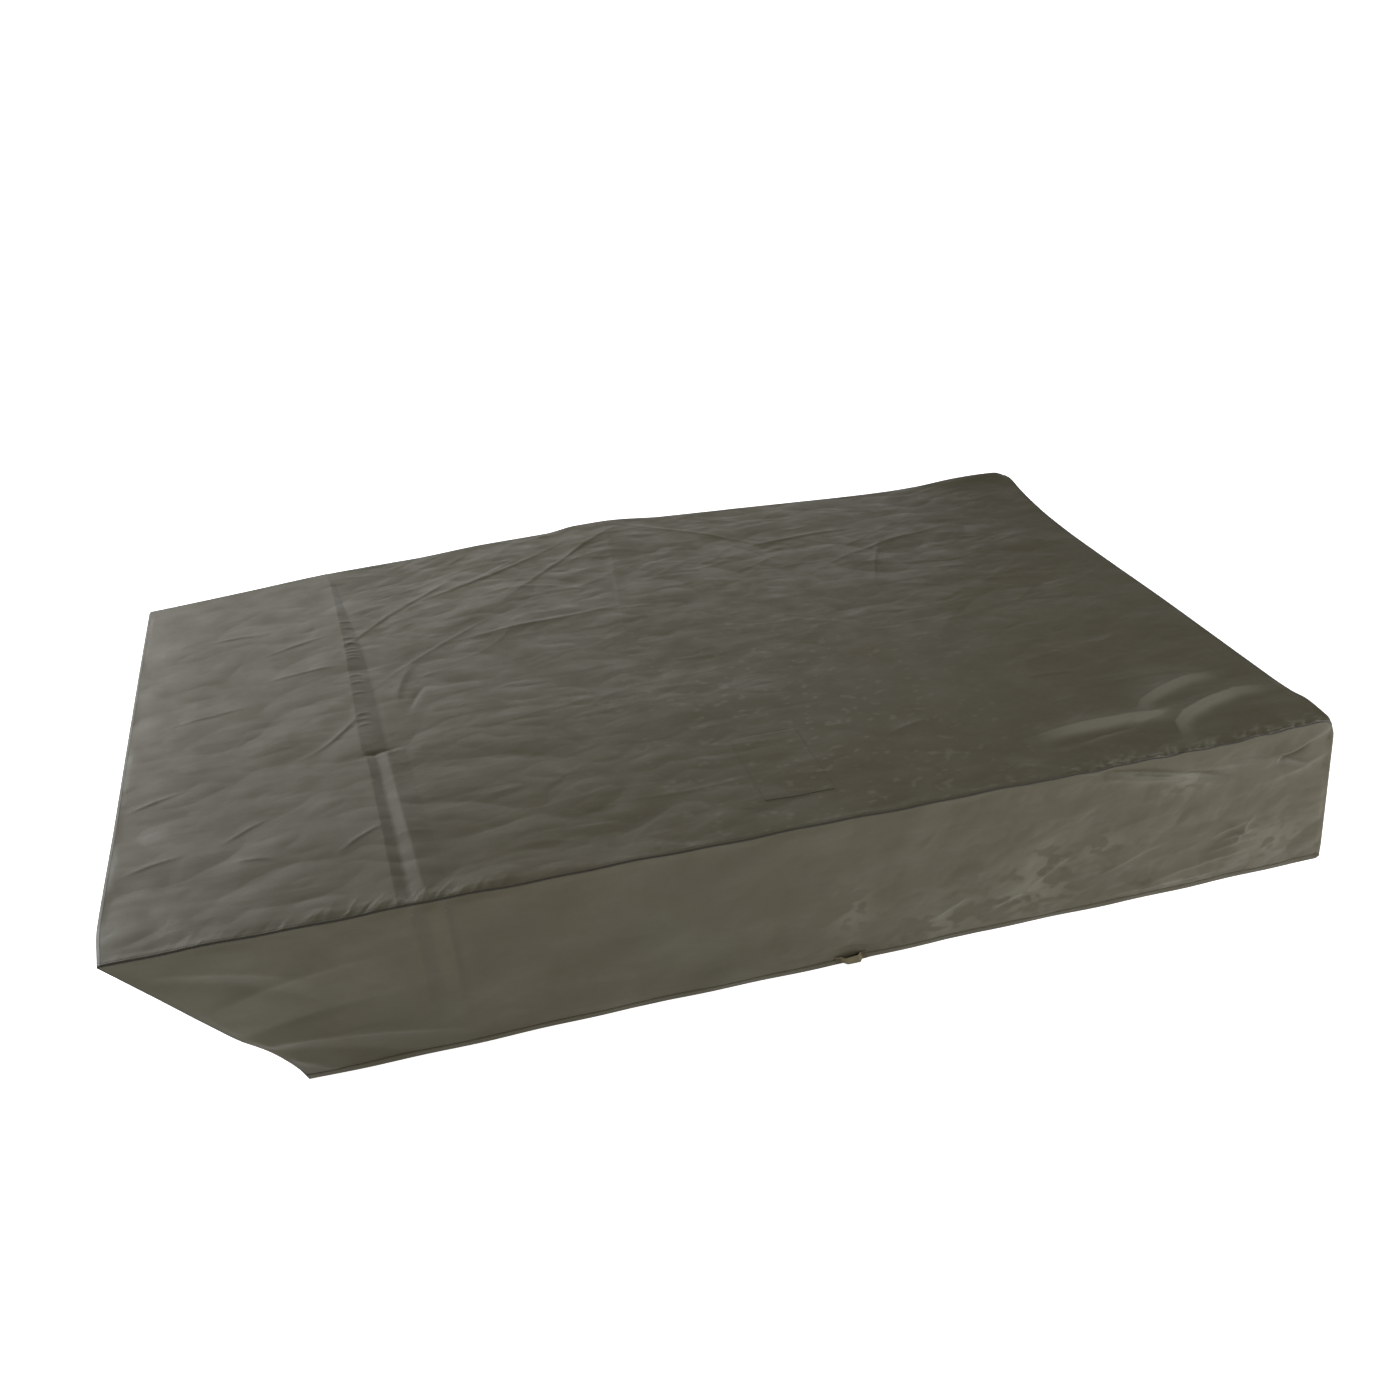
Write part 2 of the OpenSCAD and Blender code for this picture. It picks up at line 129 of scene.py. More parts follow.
class Folds:
    """Heights of creases and soft folds on a grid of cloth with plane coordinates (a, b), and how much
    painted highlight lightens their flanks."""

    def __init__(self, a, b):
        self.a, self.b = a, b
        self.h = np.zeros_like(a)
        self.pale = np.zeros_like(a)
        self.rows = a.min(axis=1), a.max(axis=1)
        self.cols = b.min(axis=0), b.max(axis=0)
        if self.cols[1].min() == self.cols[1].max() and self.cols[0].min() == self.cols[0].max():
            self.rows, self.cols = (b.min(axis=1), b.max(axis=1)), (a.min(axis=0), a.max(axis=0))
            self.swapped = True
        else:
            self.swapped = False

    def fold(self, p, q, width, height, bend=0.0, skew=0.0, sharp=0.35, pale=0.0):
        """A ridge from p to q. skew from -1 to 1 makes one flank steep; bend bows it sideways; pale
        lightens its lower flank as a painted highlight."""
        (pa, pb), (qa, qb) = p, q
        ca, cb = (pa + qa) / 2, (pb + qb) / 2
        long = math.hypot(qa - pa, qb - pb) / 2
        ta, tb = (qa - pa) / 2 / long, (qb - pb) / 2 / long
        reach_a, reach_b = abs(ta) * long * 1.6 + 6 * width, abs(tb) * long * 1.6 + 6 * width + abs(bend)
        centre = (cb, ca) if self.swapped else (ca, cb)
        reach = (reach_b, reach_a) if self.swapped else (reach_a, reach_b)
        rows = np.flatnonzero((self.rows[0] < centre[0] + reach[0]) & (self.rows[1] > centre[0] - reach[0]))
        cols = np.flatnonzero((self.cols[0] < centre[1] + reach[1]) & (self.cols[1] > centre[1] - reach[1]))
        if not len(rows) or not len(cols):
            return
        win = np.s_[rows[0]:rows[-1] + 1, cols[0]:cols[-1] + 1]
        a, b = self.a[win] - ca, self.b[win] - cb
        s = (a * ta + b * tb) / long
        d = (-a * tb + b * ta) + bend * (s * s - 1)
        w = width * np.where(d > 0, 1 + 0.6 * skew, 1 - 0.6 * skew)
        ridge = np.exp(-(np.sqrt((d / w) ** 2 + sharp ** 2) - sharp))
        ends = np.exp(-np.abs(s) ** 3 * 0.9) * (np.abs(s) < 1.7)
        self.h[win] += height * ridge * ends
        # Painted highlight on the ridge's lower flank.
        if pale:
            self.pale[win] += pale * np.exp(-((d / w + 0.55) / 0.8) ** 2) * ends

    def crest(self, points, width, height, skew=0.6, pale=0.0):
        """A curved ridge through points. Its flank to the right of the way it runs is the steep one, which
        pale lightens as a painted highlight."""
        path = np.array(points, float)
        lo, hi = path.min(axis=0) - 6 * width, path.max(axis=0) + 6 * width
        near = (self.a > lo[0]) & (self.a < hi[0]) & (self.b > lo[1]) & (self.b < hi[1])
        a, b = self.a[near], self.b[near]
        best, side, share = np.full(a.shape, 9.0), np.zeros(a.shape), np.zeros(a.shape)
        legs = np.linalg.norm(np.diff(path, axis=0), axis=1)
        start = np.concatenate([[0], np.cumsum(legs)]) / legs.sum()
        for i, leg in enumerate(legs):
            ta, tb = (path[i + 1] - path[i]) / leg
            t = np.clip((a - path[i, 0]) * ta + (b - path[i, 1]) * tb, 0, leg)
            da, db = a - path[i, 0] - ta * t, b - path[i, 1] - tb * t
            far = np.hypot(da, db)
            closer = far < best
            best = np.where(closer, far, best)
            side = np.where(closer, np.sign(ta * db - tb * da), side)
            share = np.where(closer, start[i] + t / legs.sum(), share)
        d = best * side
        w = width * np.where(d > 0, 1 + skew, 1 - skew)
        ends = np.sin(math.pi * np.clip(share, 0.02, 0.98)) ** 0.7
        self.h[near] += height * ends * np.exp(-(np.sqrt((d / w) ** 2 + 0.04) - 0.2))
        # Painted highlight on the steep flank.
        lit = smooth(0.12 * width, -0.12 * width, d) * np.exp(-np.clip(-d / width - 0.7, 0, None) ** 2 * 2.2)
        self.pale[near] += pale * ends * lit

    def scatter(self, seed, count, area, angle, spread, length, width, height, keep=None):
        """Many small folds at random. Length, width and height are (low, high)."""
        rng = np.random.default_rng(seed)
        (a0, a1), (b0, b1) = area
        for _ in range(count):
            a, b, chance = rng.uniform(a0, a1), rng.uniform(b0, b1), rng.random()
            turn = math.radians((angle(a, b) if callable(angle) else angle) + rng.normal(0, spread))
            long = length[0] + (length[1] - length[0]) * rng.random() ** 2
            wide = rng.uniform(*width)
            high = rng.uniform(*height) * (1 if rng.random() < 0.62 else -0.8)
            bend, skew, crisp = rng.normal(0, 0.06) * long, rng.uniform(-0.9, 0.9), rng.uniform(0.04, 0.4)
            if keep is not None and chance > keep(a, b):
                continue
            da, db = math.cos(turn) * long / 2, math.sin(turn) * long / 2
            self.fold((a - da, b - db), (a + da, b + db), wide, high, bend, skew, crisp)


# ---- Mesh helpers ----

def new_object(name, data, material=None):
    """A new object of data, linked to the scene."""
    if material:
        data.materials.append(material)
    obj = bpy.data.objects.new(name, data)
    bpy.context.scene.collection.objects.link(obj)
    return obj


def mesh_object(name, points, faces, body, material):
    mesh = bpy.data.meshes.new(name)
    mesh.from_pydata([tuple(p) for p in points], [], faces)
    mesh.update()
    mesh.polygons.foreach_set("use_smooth", np.ones(len(mesh.polygons), bool))
    obj = new_object(name, mesh, material)
    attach(obj, body)
    return obj


def circles(centres, radius, first, second, sides):
    """Points on circles round the centres, in the planes of the unit vectors first and second."""
    turn = np.arange(sides) / sides * 2 * math.pi
    return centres[:, None] + radius * (np.cos(turn)[None, :, None] * first[:, None]
                                        + np.sin(turn)[None, :, None] * second[:, None])


def tube_faces(first, rings, sides):
    """Faces of a closed tube of rings of points, the first of which has the number first."""
    faces = []
    for r in range(rings - 1):
        for k in range(sides):
            a, b = first + r * sides + k, first + r * sides + (k + 1) % sides
            faces.append((a, b, b + sides, a + sides))
    last = first + (rings - 1) * sides
    return faces + [tuple(range(first, first + sides))[::-1], tuple(range(last, last + sides))]


PANELS = {}


def remember(name, grid, along, across, flip):
    """Keep a panel's grid, the distances of its lines and its outward normals, for what is sewn to it."""
    normal = np.cross(np.gradient(grid, axis=0), np.gradient(grid, axis=1))
    normal /= np.maximum(np.linalg.norm(normal, axis=-1, keepdims=True), 1e-12)
    PANELS[name] = (grid, np.asarray(along), np.asarray(across), -normal if flip else normal)


def on_panel(name, a, b, out=0.0):
    """Points on a panel at distances a along it and b across it, standing off it by out."""
    grid, along, across, normal = PANELS[name]
    a, b = np.broadcast_arrays(np.asarray(a, float), np.asarray(b, float))
    fa = np.interp(a, along, np.arange(len(along)))
    fb = np.interp(b, across, np.arange(len(across)))
    i = np.clip(fa.astype(int), 0, len(along) - 2)
    j = np.clip(fb.astype(int), 0, len(across) - 2)
    s, t = (fa - i)[..., None], (fb - j)[..., None]

    def at(g):
        return ((1 - s) * (1 - t) * g[i, j] + s * (1 - t) * g[i + 1, j]
                + (1 - s) * t * g[i, j + 1] + s * t * g[i + 1, j + 1])

    return at(grid) + at(normal) * np.broadcast_to(out, a.shape)[..., None]


def grid_object(name, grid, body, material, thick=0.0, wear_and_painted_light=None, flip=False, lines=None):
    """A sheet of cloth from a grid of points (nu, nv, 3); thick adds a back layer and a rim."""
    if lines is not None:
        remember(name, grid, *lines, flip)
    nu, nv = grid.shape[:2]
    base = (np.arange(nu - 1)[:, None] * nv + np.arange(nv - 1)[None, :]).ravel()
    quads = np.stack([base, base + nv, base + nv + 1, base + 1], axis=1)
    if flip:
        quads = quads[:, ::-1]
    mesh = bpy.data.meshes.new(name)
    mesh.vertices.add(nu * nv)
    mesh.vertices.foreach_set("co", row(grid).astype(np.float32).ravel())
    mesh.loops.add(quads.size)
    mesh.loops.foreach_set("vertex_index", quads.astype(np.int32).ravel())
    mesh.polygons.add(len(quads))
    mesh.polygons.foreach_set("loop_start", np.arange(0, quads.size, 4, dtype=np.int32))
    mesh.polygons.foreach_set("use_smooth", np.ones(len(quads), bool))
    if wear_and_painted_light is not None:
        layer = mesh.attributes.new("wear_and_painted_light", "FLOAT", "POINT")
        layer.data.foreach_set("value", np.asarray(wear_and_painted_light, np.float32).ravel())
    mesh.update(calc_edges=True)
    mesh.validate()
    obj = new_object(name, mesh, material)
    if thick:
        solid = obj.modifiers.new("cloth", "SOLIDIFY")
        solid.thickness = thick
        solid.offset = -1
    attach(obj, body)
    return obj


def steps(start, end, step):
    return np.linspace(start, end, max(2, round(abs(end - start) / step) + 1))


def spaced(length, step, edge, fine):
    """Distances from 0 to length, step apart, and fine apart within edge of both ends."""
    near = np.linspace(0, edge, round(edge / fine) + 1)
    middle = np.linspace(edge, length - edge, max(2, round((length - 2 * edge) / step) + 1))
    return np.concatenate([near[:-1], middle, length - near[::-1][1:]])


# ---- The sack's edges and surfaces in the design frame ----

def half_w(x):
    return (FOOT_W + (HEAD_W - FOOT_W) * (x + HALF) / ROOF_LEN) / 2


def roof_plane(u):
    return FOOT_H + (HEAD_H - FOOT_H) * u


def swell(u):
    return np.clip(np.sin(math.pi * np.clip(u, 0, 1)), 0, None) ** 1.3


def back_lift(u):
    """How far the roof's back edge is drawn up above a straight line."""
    return curve(u, [(0, 0.004), (0.09, 0.014), (0.19, 0.024), (0.27, 0.0245), (0.35, 0.032), (0.42, 0.034),
                     (0.455, 0.044), (0.49, 0.0455), (0.56, 0.035), (0.66, 0.030), (0.79, 0.026),
                     (0.88, 0.029), (0.93, 0.039), (0.97, 0.047), (1, 0.048)])


def head_lift(v):
    """How far the roof's head edge is drawn up: a drawn-up back corner and a small front one."""
    return curve(v, [(0, 0.010), (0.055, 0.015), (0.09, 0.0092), (0.13, 0.0072), (0.4, 0.0078), (0.6, 0.005),
                     (0.7, 0.0042), (0.8, 0.007), (0.87, 0.014), (0.93, 0.0245), (0.97, 0.036), (1, 0.047)])


def foot_bow(v):
    """How far the roof's foot edge bellies out past a straight line."""
    return curve(v, [(0, 0.001), (0.08, 0.0095), (0.3, 0.0070), (0.5, 0.0060), (0.75, 0.0040), (1, 0.001)])


def roof_base(u, v):
    """The roof without its wrinkles, down to the seams at its borders."""
    x = -HALF + ROOF_LEN * u
    width = 2 * half_w(x) + BACK_BOW * swell(u)
    y = -half_w(x) + v * width
    near_head = smooth(0.84, 1, u)
    lift = back_lift(u) * ((1 - near_head) * np.clip(v, 0, 1) ** 2.2) + near_head * head_lift(v)
    z = roof_plane(u) + lift
    x = x - foot_bow(v) * (1 - smooth(0, 0.05, u))
    return np.stack([x, y, z], axis=-1)


def rounded(distance, radius):
    """How far a folded edge has turned down at a distance in from it."""
    e = np.clip(radius - distance, 0, radius)
    return radius - np.sqrt(np.clip(radius ** 2 - e ** 2, 0, None))


def side_drop(front, back, head):
    """How far the roof turns down at its front and back edges, and more at its two head corners."""
    corners = (0.013 * bell(head, 0, 0.022) * bell(back, 0, 0.026)
               + 0.0065 * bell(head, 0, 0.012) * bell(front, 0, 0.007))
    return rounded(front, 0.0016) + rounded(back, 0.010) + corners


def seam_waver(x):
    """Small waver of the front seam, shared by the roof, the wall and the stitching."""
    return (0.0011 * np.sin(x * 19 + 0.6) + 0.0008 * np.sin(x * 47 + 2)
            + 0.0012 * np.sin(x * 83) * smooth(0.3, 0.7, x))


HEAD_R = 0.0035          # how far the roof turns down at its head edge
PLEAT_LEFT = [(-0.60, -0.66), (-0.30, -0.67), (-0.17, -0.675), (-0.14, -0.683), (0.20, -0.688),
              (0.40, -0.694), (0.54, -0.70), (0.62, -0.71)]
PLEAT_WIDE = [(-0.60, 0.047), (-0.17, 0.038), (-0.14, 0.048), (0.20, 0.038), (0.42, 0.020), (0.62, 0.006)]
PLEAT_KINK = -0.155
CRUSH = 1.37             # strength of the broad crushed facets all over the roof


def polyline(t, points):
    """Straight lines through (t, value) points."""
    x, y = np.array(points, float).T
    return np.interp(t, x, y)


def pleat(x, y):
    """Height of the double crease across the roof. At the back it is one pressed facet that falls away
    from a sharp crest; towards the front, past a kink, it is a narrow step and then a low ridge. It also
    gives the painted shade and highlight that go with it: lighter crests, darker facets and steps."""
    left = curve(y, PLEAT_LEFT)
    wide = curve(y, PLEAT_WIDE)
    s = (x - left) / wide
    back = polyline(s, [(-4, 0), (-2.2, 0.0003), (0, 0.0030), (0.95, -0.0026), (1.15, -0.0024), (4.5, 0)])
    front = polyline(s, [(-3.2, 0), (0, 0.0022), (0.40, -0.0014), (0.52, -0.0013), (0.97, 0.0024),
                         (1.05, 0.0022), (1.9, -0.0012), (3.6, 0)])
    # Painted light along the pleat: lighter at its crests, darker on the facet and beside the steps.
    back_shading = polyline(s, [(-1.6, 0), (-0.1, 0.10), (0.02, 0.10), (0.06, -0.26), (0.9, -0.36), (1.0, -0.05),
                             (1.1, 0.08), (2.4, 0)])
    front_shading = polyline(s, [(-1.6, 0), (-0.1, 0.1), (0, 0.1), (0.05, -0.4), (0.4, -0.26), (0.5, -0.04),
                              (0.9, 0.0), (1.0, 0.08), (1.07, -0.26), (2.0, -0.10), (3.2, 0)])
    share = smooth(PLEAT_KINK - 0.008, PLEAT_KINK + 0.008, y)
    gone = smooth(0.66, 0.42, y)
    return (share * back + (1 - share) * front) * gone, (share * back_shading + (1 - share) * front_shading) * gone


def lean(a, b):
    """Direction in degrees of the roof's small folds at (a, b)."""
    turn = 5 + 20 * bell(a, -0.52, 0.30) * smooth(0.0, 0.4, b)
    return turn + 9 * smooth(-0.62, -0.8, a) - 6 * smooth(0.5, 1.0, a)


def calm(a, b):
    """Share of the roof's small folds kept at (a, b)."""
    quiet = 1.1 * math.exp(-((a - 0.40) / 0.30) ** 2 - ((b + 0.26) / 0.28) ** 2)
    quiet += 0.50 * float(smooth(-0.64, -0.74, a)) + 0.35 * float(smooth(-0.1, -0.35, b))
    return 1 - min(quiet, 0.97)


def small_roof_folds(f):
    """The roof's small folds, at random."""
    area = ((-1.08, 1.08), (-0.60, 0.66))
    f.scatter(11, 1150, area, lean, 13, (0.03, 0.12), (0.0022, 0.0048), (0.0003, 0.0010), calm)
    f.scatter(12, 330, area, lean, 15, (0.07, 0.24), (0.0045, 0.0095), (0.0007, 0.0019), calm)
    f.scatter(15, 60, ((-0.62, 1.08), (-0.58, 0.62)), lean, 20, (0.15, 0.42), (0.012, 0.028),
              (0.0010, 0.0024), calm)
    f.scatter(13, 55, ((-1.06, -0.70), (-0.56, 0.58)), 14, 16, (0.08, 0.26), (0.008, 0.020), (0.0006, 0.0017))
    f.scatter(16, 70, ((-1.06, -0.70), (-0.58, 0.60)), 8, 16, (0.03, 0.13), (0.0028, 0.006), (0.0004, 0.0012))
    f.scatter(14, 120, ((-0.62, 0.45), (0.28, 0.66)), lean, 18, (0.06, 0.22), (0.0035, 0.008),
              (0.0008, 0.0021))
    f.scatter(17, 60, ((0.55, 1.06), (0.10, 0.62)), 0, 14, (0.08, 0.26), (0.005, 0.011), (0.0009, 0.0022))


def single_roof_folds(f):
    """The roof's larger folds and ridges, one by one."""
    # Long diagonals in the back left, the faint second crease and other single folds
    for crease in (
            ((-0.69, 0.25), (-0.44, 0.48), 0.006, 0.0019, 0.015, 0.5),
            ((-0.50, 0.42), (-0.18, 0.56), 0.005, 0.0017, -0.01, 0.4),
            ((-0.62, 0.10), (-0.35, 0.30), 0.005, 0.0012, 0.01, -0.5),
            ((-0.30, 0.38), (-0.02, 0.60), 0.005, 0.0016, 0.01, 0.5),
            ((-0.03, 0.64), (-0.105, 0.14), 0.010, 0.0016, 0.004, 0.9),
            ((0.02, 0.62), (0.30, 0.46), 0.005, 0.0015, 0.012, -0.4),
            ((0.45, 0.30), (0.78, 0.40), 0.006, 0.0018, 0.012, 0.5),
            ((0.52, 0.20), (0.60, 0.36), 0.005, 0.0018, 0.004, 0.3),
            ((0.30, 0.44), (0.55, 0.46), 0.006, 0.0024, 0.004, 0.3),
            ((-0.42, 0.22), (-0.13, 0.24), 0.006, 0.0022, 0.004, -0.3)):
        f.fold(*crease)

    # Ridges near the front right corner with painted highlights on their steep flanks, and fainter ones round
    # them
    for ridge in (
            ([(0.53, -0.485), (0.60, -0.48), (0.75, -0.48), (0.83, -0.495)], 0.020, 0.0075, 0.1, 1.05),
            ([(0.735, -0.505), (0.775, -0.49), (0.84, -0.48)], 0.011, 0.0040, 0.1, 0.80),
            ([(0.765, -0.475), (0.80, -0.44), (0.85, -0.42), (0.92, -0.405), (1.00, -0.40)],
             0.018, 0.0065, 0.1, 0.85),
            ([(0.80, -0.575), (0.815, -0.53), (0.85, -0.505), (0.91, -0.485), (0.99, -0.47), (1.06, -0.48)],
             0.020, 0.0080, 0.1, 1.00),
            ([(0.74, -0.345), (0.85, -0.35), (0.96, -0.37)], 0.008, 0.0026, 0.4, 0.20),
            ([(0.60, -0.245), (0.78, -0.22), (0.95, -0.215)], 0.008, 0.0024, 0.4, 0.14),
            ([(0.86, -0.305), (0.95, -0.285), (1.05, -0.29)], 0.009, 0.0026, 0.4, 0.16),
            ([(0.60, -0.535), (0.66, -0.52), (0.74, -0.52)], 0.009, -0.0042, 0.4, 0.10),
            ([(0.44, -0.565), (0.47, -0.555), (0.52, -0.575)], 0.008, 0.0032, 0.4, 0.45),
            ([(0.28, -0.395), (0.32, -0.38), (0.37, -0.37)], 0.006, 0.0022, 0.4, 0.15),
            ([(0.62, -0.40), (0.68, -0.39), (0.72, -0.40)], 0.008, 0.0022, 0.4, 0.15)):
        f.crest(*ridge)

    # Small drag folds by the pleat's kink and beside its crest
    f.fold((-0.76, -0.115), (-0.683, -0.028), 0.005, 0.0024, -0.006, 0.4)
    f.fold((-0.675, -0.160), (-0.620, -0.148), 0.005, -0.0030, 0.0, 0.2)
    for start, end in (((-0.92, -0.34), (-0.86, -0.30)), ((-1.07, -0.38), (-1.00, -0.36)),
                       ((-0.90, -0.40), (-0.85, -0.41)), ((-1.08, -0.20), (-1.00, -0.17)),
                       ((-0.84, 0.17), (-0.72, 0.18)), ((-1.01, 0.06), (-0.90, 0.08)),
                       ((-0.83, 0.28), (-0.73, 0.31)), ((-0.73, -0.42), (-0.67, -0.38)),
                       ((-0.96, 0.37), (-0.87, 0.37))):
        f.fold(start, end, 0.0035, 0.0016, 0.002, 0.5)
    f.fold((-0.60, 0.02), (-0.56, 0.14), 0.010, 0.0030, 0.006, 0.5)
    f.fold((-0.58, -0.02), (-0.545, 0.05), 0.008, -0.0026, 0.004, 0.3)


def seam_puckers(f):
    """Puckers drawn in by the front seam's stitching, and cross gathers inside the pleat's facet."""
    rng = np.random.default_rng(21)
    at = -1.07
    while at < 1.075:
        tight = 0.22 + 0.95 * float(bell(at, -0.62, 0.16)) + 1.15 * float(smooth(0.40, 0.62, at))
        tight += 0.45 * float(bell(at, -0.92, 0.13)) + 0.2 * float(bell(at, 0.05, 0.2))
        near_head = at > 0.35
        long = rng.uniform(0.010, 0.030) if near_head else rng.uniform(0.016, 0.046) * (0.55 + 0.5 * tight)
        turn = math.radians(rng.normal(36, 20) if near_head else rng.normal(58, 15))
        edge = -float(half_w(at)) + 0.002
        tip = (at + math.cos(turn) * long, edge + math.sin(turn) * long)
        high = rng.uniform(0.0005, 0.0013) * (1.6 if near_head else 1.0) * (1 if rng.random() < 0.8 else -0.7)
        wide, skew = rng.uniform(0.0022, 0.0045), rng.uniform(-0.8, 0.8)
        # Painted highlights on the puckers' lower flanks: strong and uneven by the head, where a few are
        # darkened instead, and faint elsewhere.
        rubbed_and_glint = (rng.uniform(-0.1, 0.4) if near_head else 0.06) * tight * (high > 0)
        f.fold((at - 0.004, edge - 0.006), tip, wide, tight * high, 0.002, skew, 0.15, rubbed_and_glint)
        at += rng.uniform(0.007, 0.020) * (1.45 - 0.35 * min(tight, 1.6))
    for b in (0.20, 0.212, 0.226, 0.240, 0.262, 0.285, -0.02, -0.04, -0.06, 0.06, 0.10, 0.13, 0.33, 0.36):
        left = float(curve(b, PLEAT_LEFT))
        f.fold((left + 0.001, b), (left + 0.026, b + 0.006), 0.0030, 0.0013, 0.002, 0.3)


def roof_folds(x, y, front, back):
    """All wrinkles of the roof, as heights, and the painted highlights and shade that go with them."""
    f = Folds(x, y)
    small_roof_folds(f)
    f.h *= 0.36 - 0.20 * smooth(-0.62, -0.72, x) + 0.45 * smooth(0.35, 0.8, x) * smooth(0.15, -0.15, y)
    single_roof_folds(f)
    h = f.h * smooth(0, 0.024, front) * smooth(0, 0.02, back)
    f.h = np.zeros_like(h)
    seam_puckers(f)
    pucker = f.h * smooth(-0.0005, 0.0025, front)
    loose = 1 - 0.9 * bell(x, 0.40, 0.30) * bell(y, -0.28, 0.28)
    swells = 0.0012 * rough_at(x, y, (0.24, 0.16), 3) * loose
    crushed = 0.0006 * crumpled(x, y, (0.15, 0.10), 5) + 0.00022 * crumpled(x, y, (0.070, 0.040), 6)
    crushed = crushed * loose * CRUSH
    h = h + swells * smooth(0, 0.09, front) * smooth(0, 0.06, back) + pucker
    h = h + crushed * smooth(0, 0.020, front) * smooth(0, 0.03, back)
    height, pleat_shading = pleat(x, y)
    return h + height * smooth(0, 0.02, front), f.pale + pleat_shading


# ---- Materials ----

WAVE_PERIOD = 0.314      # spacing of a wave texture's bands at a scale of 1


def scaled(colour, factor):
    """A darker or lighter version of a colour."""
    return tuple(min(1, c * factor) for c in colour)


class Skin:
    """A material with one Principled shader, and short ways to add textures to it."""

    def __init__(self, name, base, roughness, metal=0.0):
        self.material = bpy.data.materials.new(name)
        self.material.use_nodes = True
        self.tree = self.material.node_tree
        self.shader = self.tree.nodes["Principled BSDF"]
        self.relief = None
        self.set({"Base Color": (*base, 1), "Roughness": roughness, "Metallic": metal})

    def plug(self, socket, value):
        """Link another node's output to a socket, or set the socket to a value."""
        if isinstance(value, bpy.types.NodeSocket):
            self.tree.links.new(value, socket)
        else:
            socket.default_value = value

    def set(self, inputs):
        """Set or link inputs of the shader."""
        for name, value in inputs.items():
            self.plug(self.shader.inputs[name], value)

    def node(self, kind, inputs, **settings):
        """A new node with its settings, and its inputs by name or number."""
        node = self.tree.nodes.new("ShaderNode" + kind)
        for name, value in settings.items():
            setattr(node, name, value)
        for name, value in inputs.items():
            self.plug(node.inputs[name], value)
        return node

    def place(self):
        return self.node("TexCoord", {}).outputs["Object"]

    def noise(self, scale, detail, roughness=0.5, stretch=None):
        place = self.place()
        if stretch:
            place = self.node("Mapping", {"Vector": place, "Scale": stretch}).outputs["Vector"]
        inputs = {"Vector": place, "Scale": scale, "Detail": detail, "Roughness": roughness}
        return self.node("TexNoise", inputs).outputs["Fac"]

    def spread(self, value, low, high, out_low, out_high):
        """A value whose range from low to high becomes out_low to out_high."""
        inputs = {"Value": value, "From Min": low, "From Max": high, "To Min": out_low, "To Max": out_high}
        return self.node("MapRange", inputs).outputs["Result"]

    def mix(self, factor, first, second):
        """A blend of two colours, each a tuple or another node's output."""
        node = self.node("Mix", {"Factor": factor}, data_type="RGBA")
        ends = [s for s in node.inputs if s.type == "RGBA"]
        for socket, colour in zip(ends, (first, second)):
            self.plug(socket, (*colour, 1) if isinstance(colour, tuple) else colour)
        return [s for s in node.outputs if s.type == "RGBA"][0]

    def bump(self, height, strength, distance):
        """Fine relief, on top of what the shader has already."""
        inputs = {"Height": height, "Strength": strength, "Distance": distance}
        if self.relief is not None:
            inputs["Normal"] = self.relief
        self.relief = self.node("Bump", inputs).outputs["Normal"]
        self.set({"Normal": self.relief})


def coated_taffeta(name, base, pale, warm, coat=0.08, shows_wear_and_painted_light=True):
    """Proofed nylon: mottled olive, a fine weave, small crinkles and a soft waxy shine."""
    skin = Skin(name, base, 0.55)
    colour = skin.mix(skin.spread(skin.noise(2.6, 4.0, 0.55), 0.35, 0.68, 0.0, 1.0), base, warm)
    colour = skin.mix(skin.spread(skin.noise(9.0, 5.0, 0.6), 0.45, 0.85, 0.0, 0.14), colour, pale)
    if shows_wear_and_painted_light:
        # The attribute read here lightens the cloth towards the pale colour and darkens it towards a dark
        # olive. Part of this is real rubbing, scuffs and dust; part is painted highlights, a painted sheen
        # and painted shade in hollows and along the seams.
        wear_and_painted_light = skin.node("Attribute", {}, attribute_name="wear_and_painted_light").outputs["Fac"]
        colour = skin.mix(skin.spread(wear_and_painted_light, 0.0, 1.0, 0.0, 0.85), colour, pale)
        colour = skin.mix(skin.spread(wear_and_painted_light, 0.0, -1.0, 0.0, 0.85), colour, scaled(base, 0.55))
    grain = skin.spread(skin.noise(900.0, 2.0, 0.6), 0.3, 0.7, 0.0, 0.16)
    colour = skin.mix(grain, colour, scaled(base, 0.6))
    shine = skin.spread(skin.noise(14.0, 4.0, 0.6), 0.3, 0.75, 0.44, 0.66)
    skin.set({"Base Color": colour, "Roughness": shine, "Coat Weight": coat, "Coat Roughness": 0.38,
              "Specular IOR Level": 0.2})
    skin.bump(skin.noise(55.0, 4.0, 0.62, (0.7, 1.4, 1.2)), 0.22, 0.0018)
    skin.bump(skin.noise(420.0, 3.0, 0.6), 0.25, 0.0004)
    return skin.material


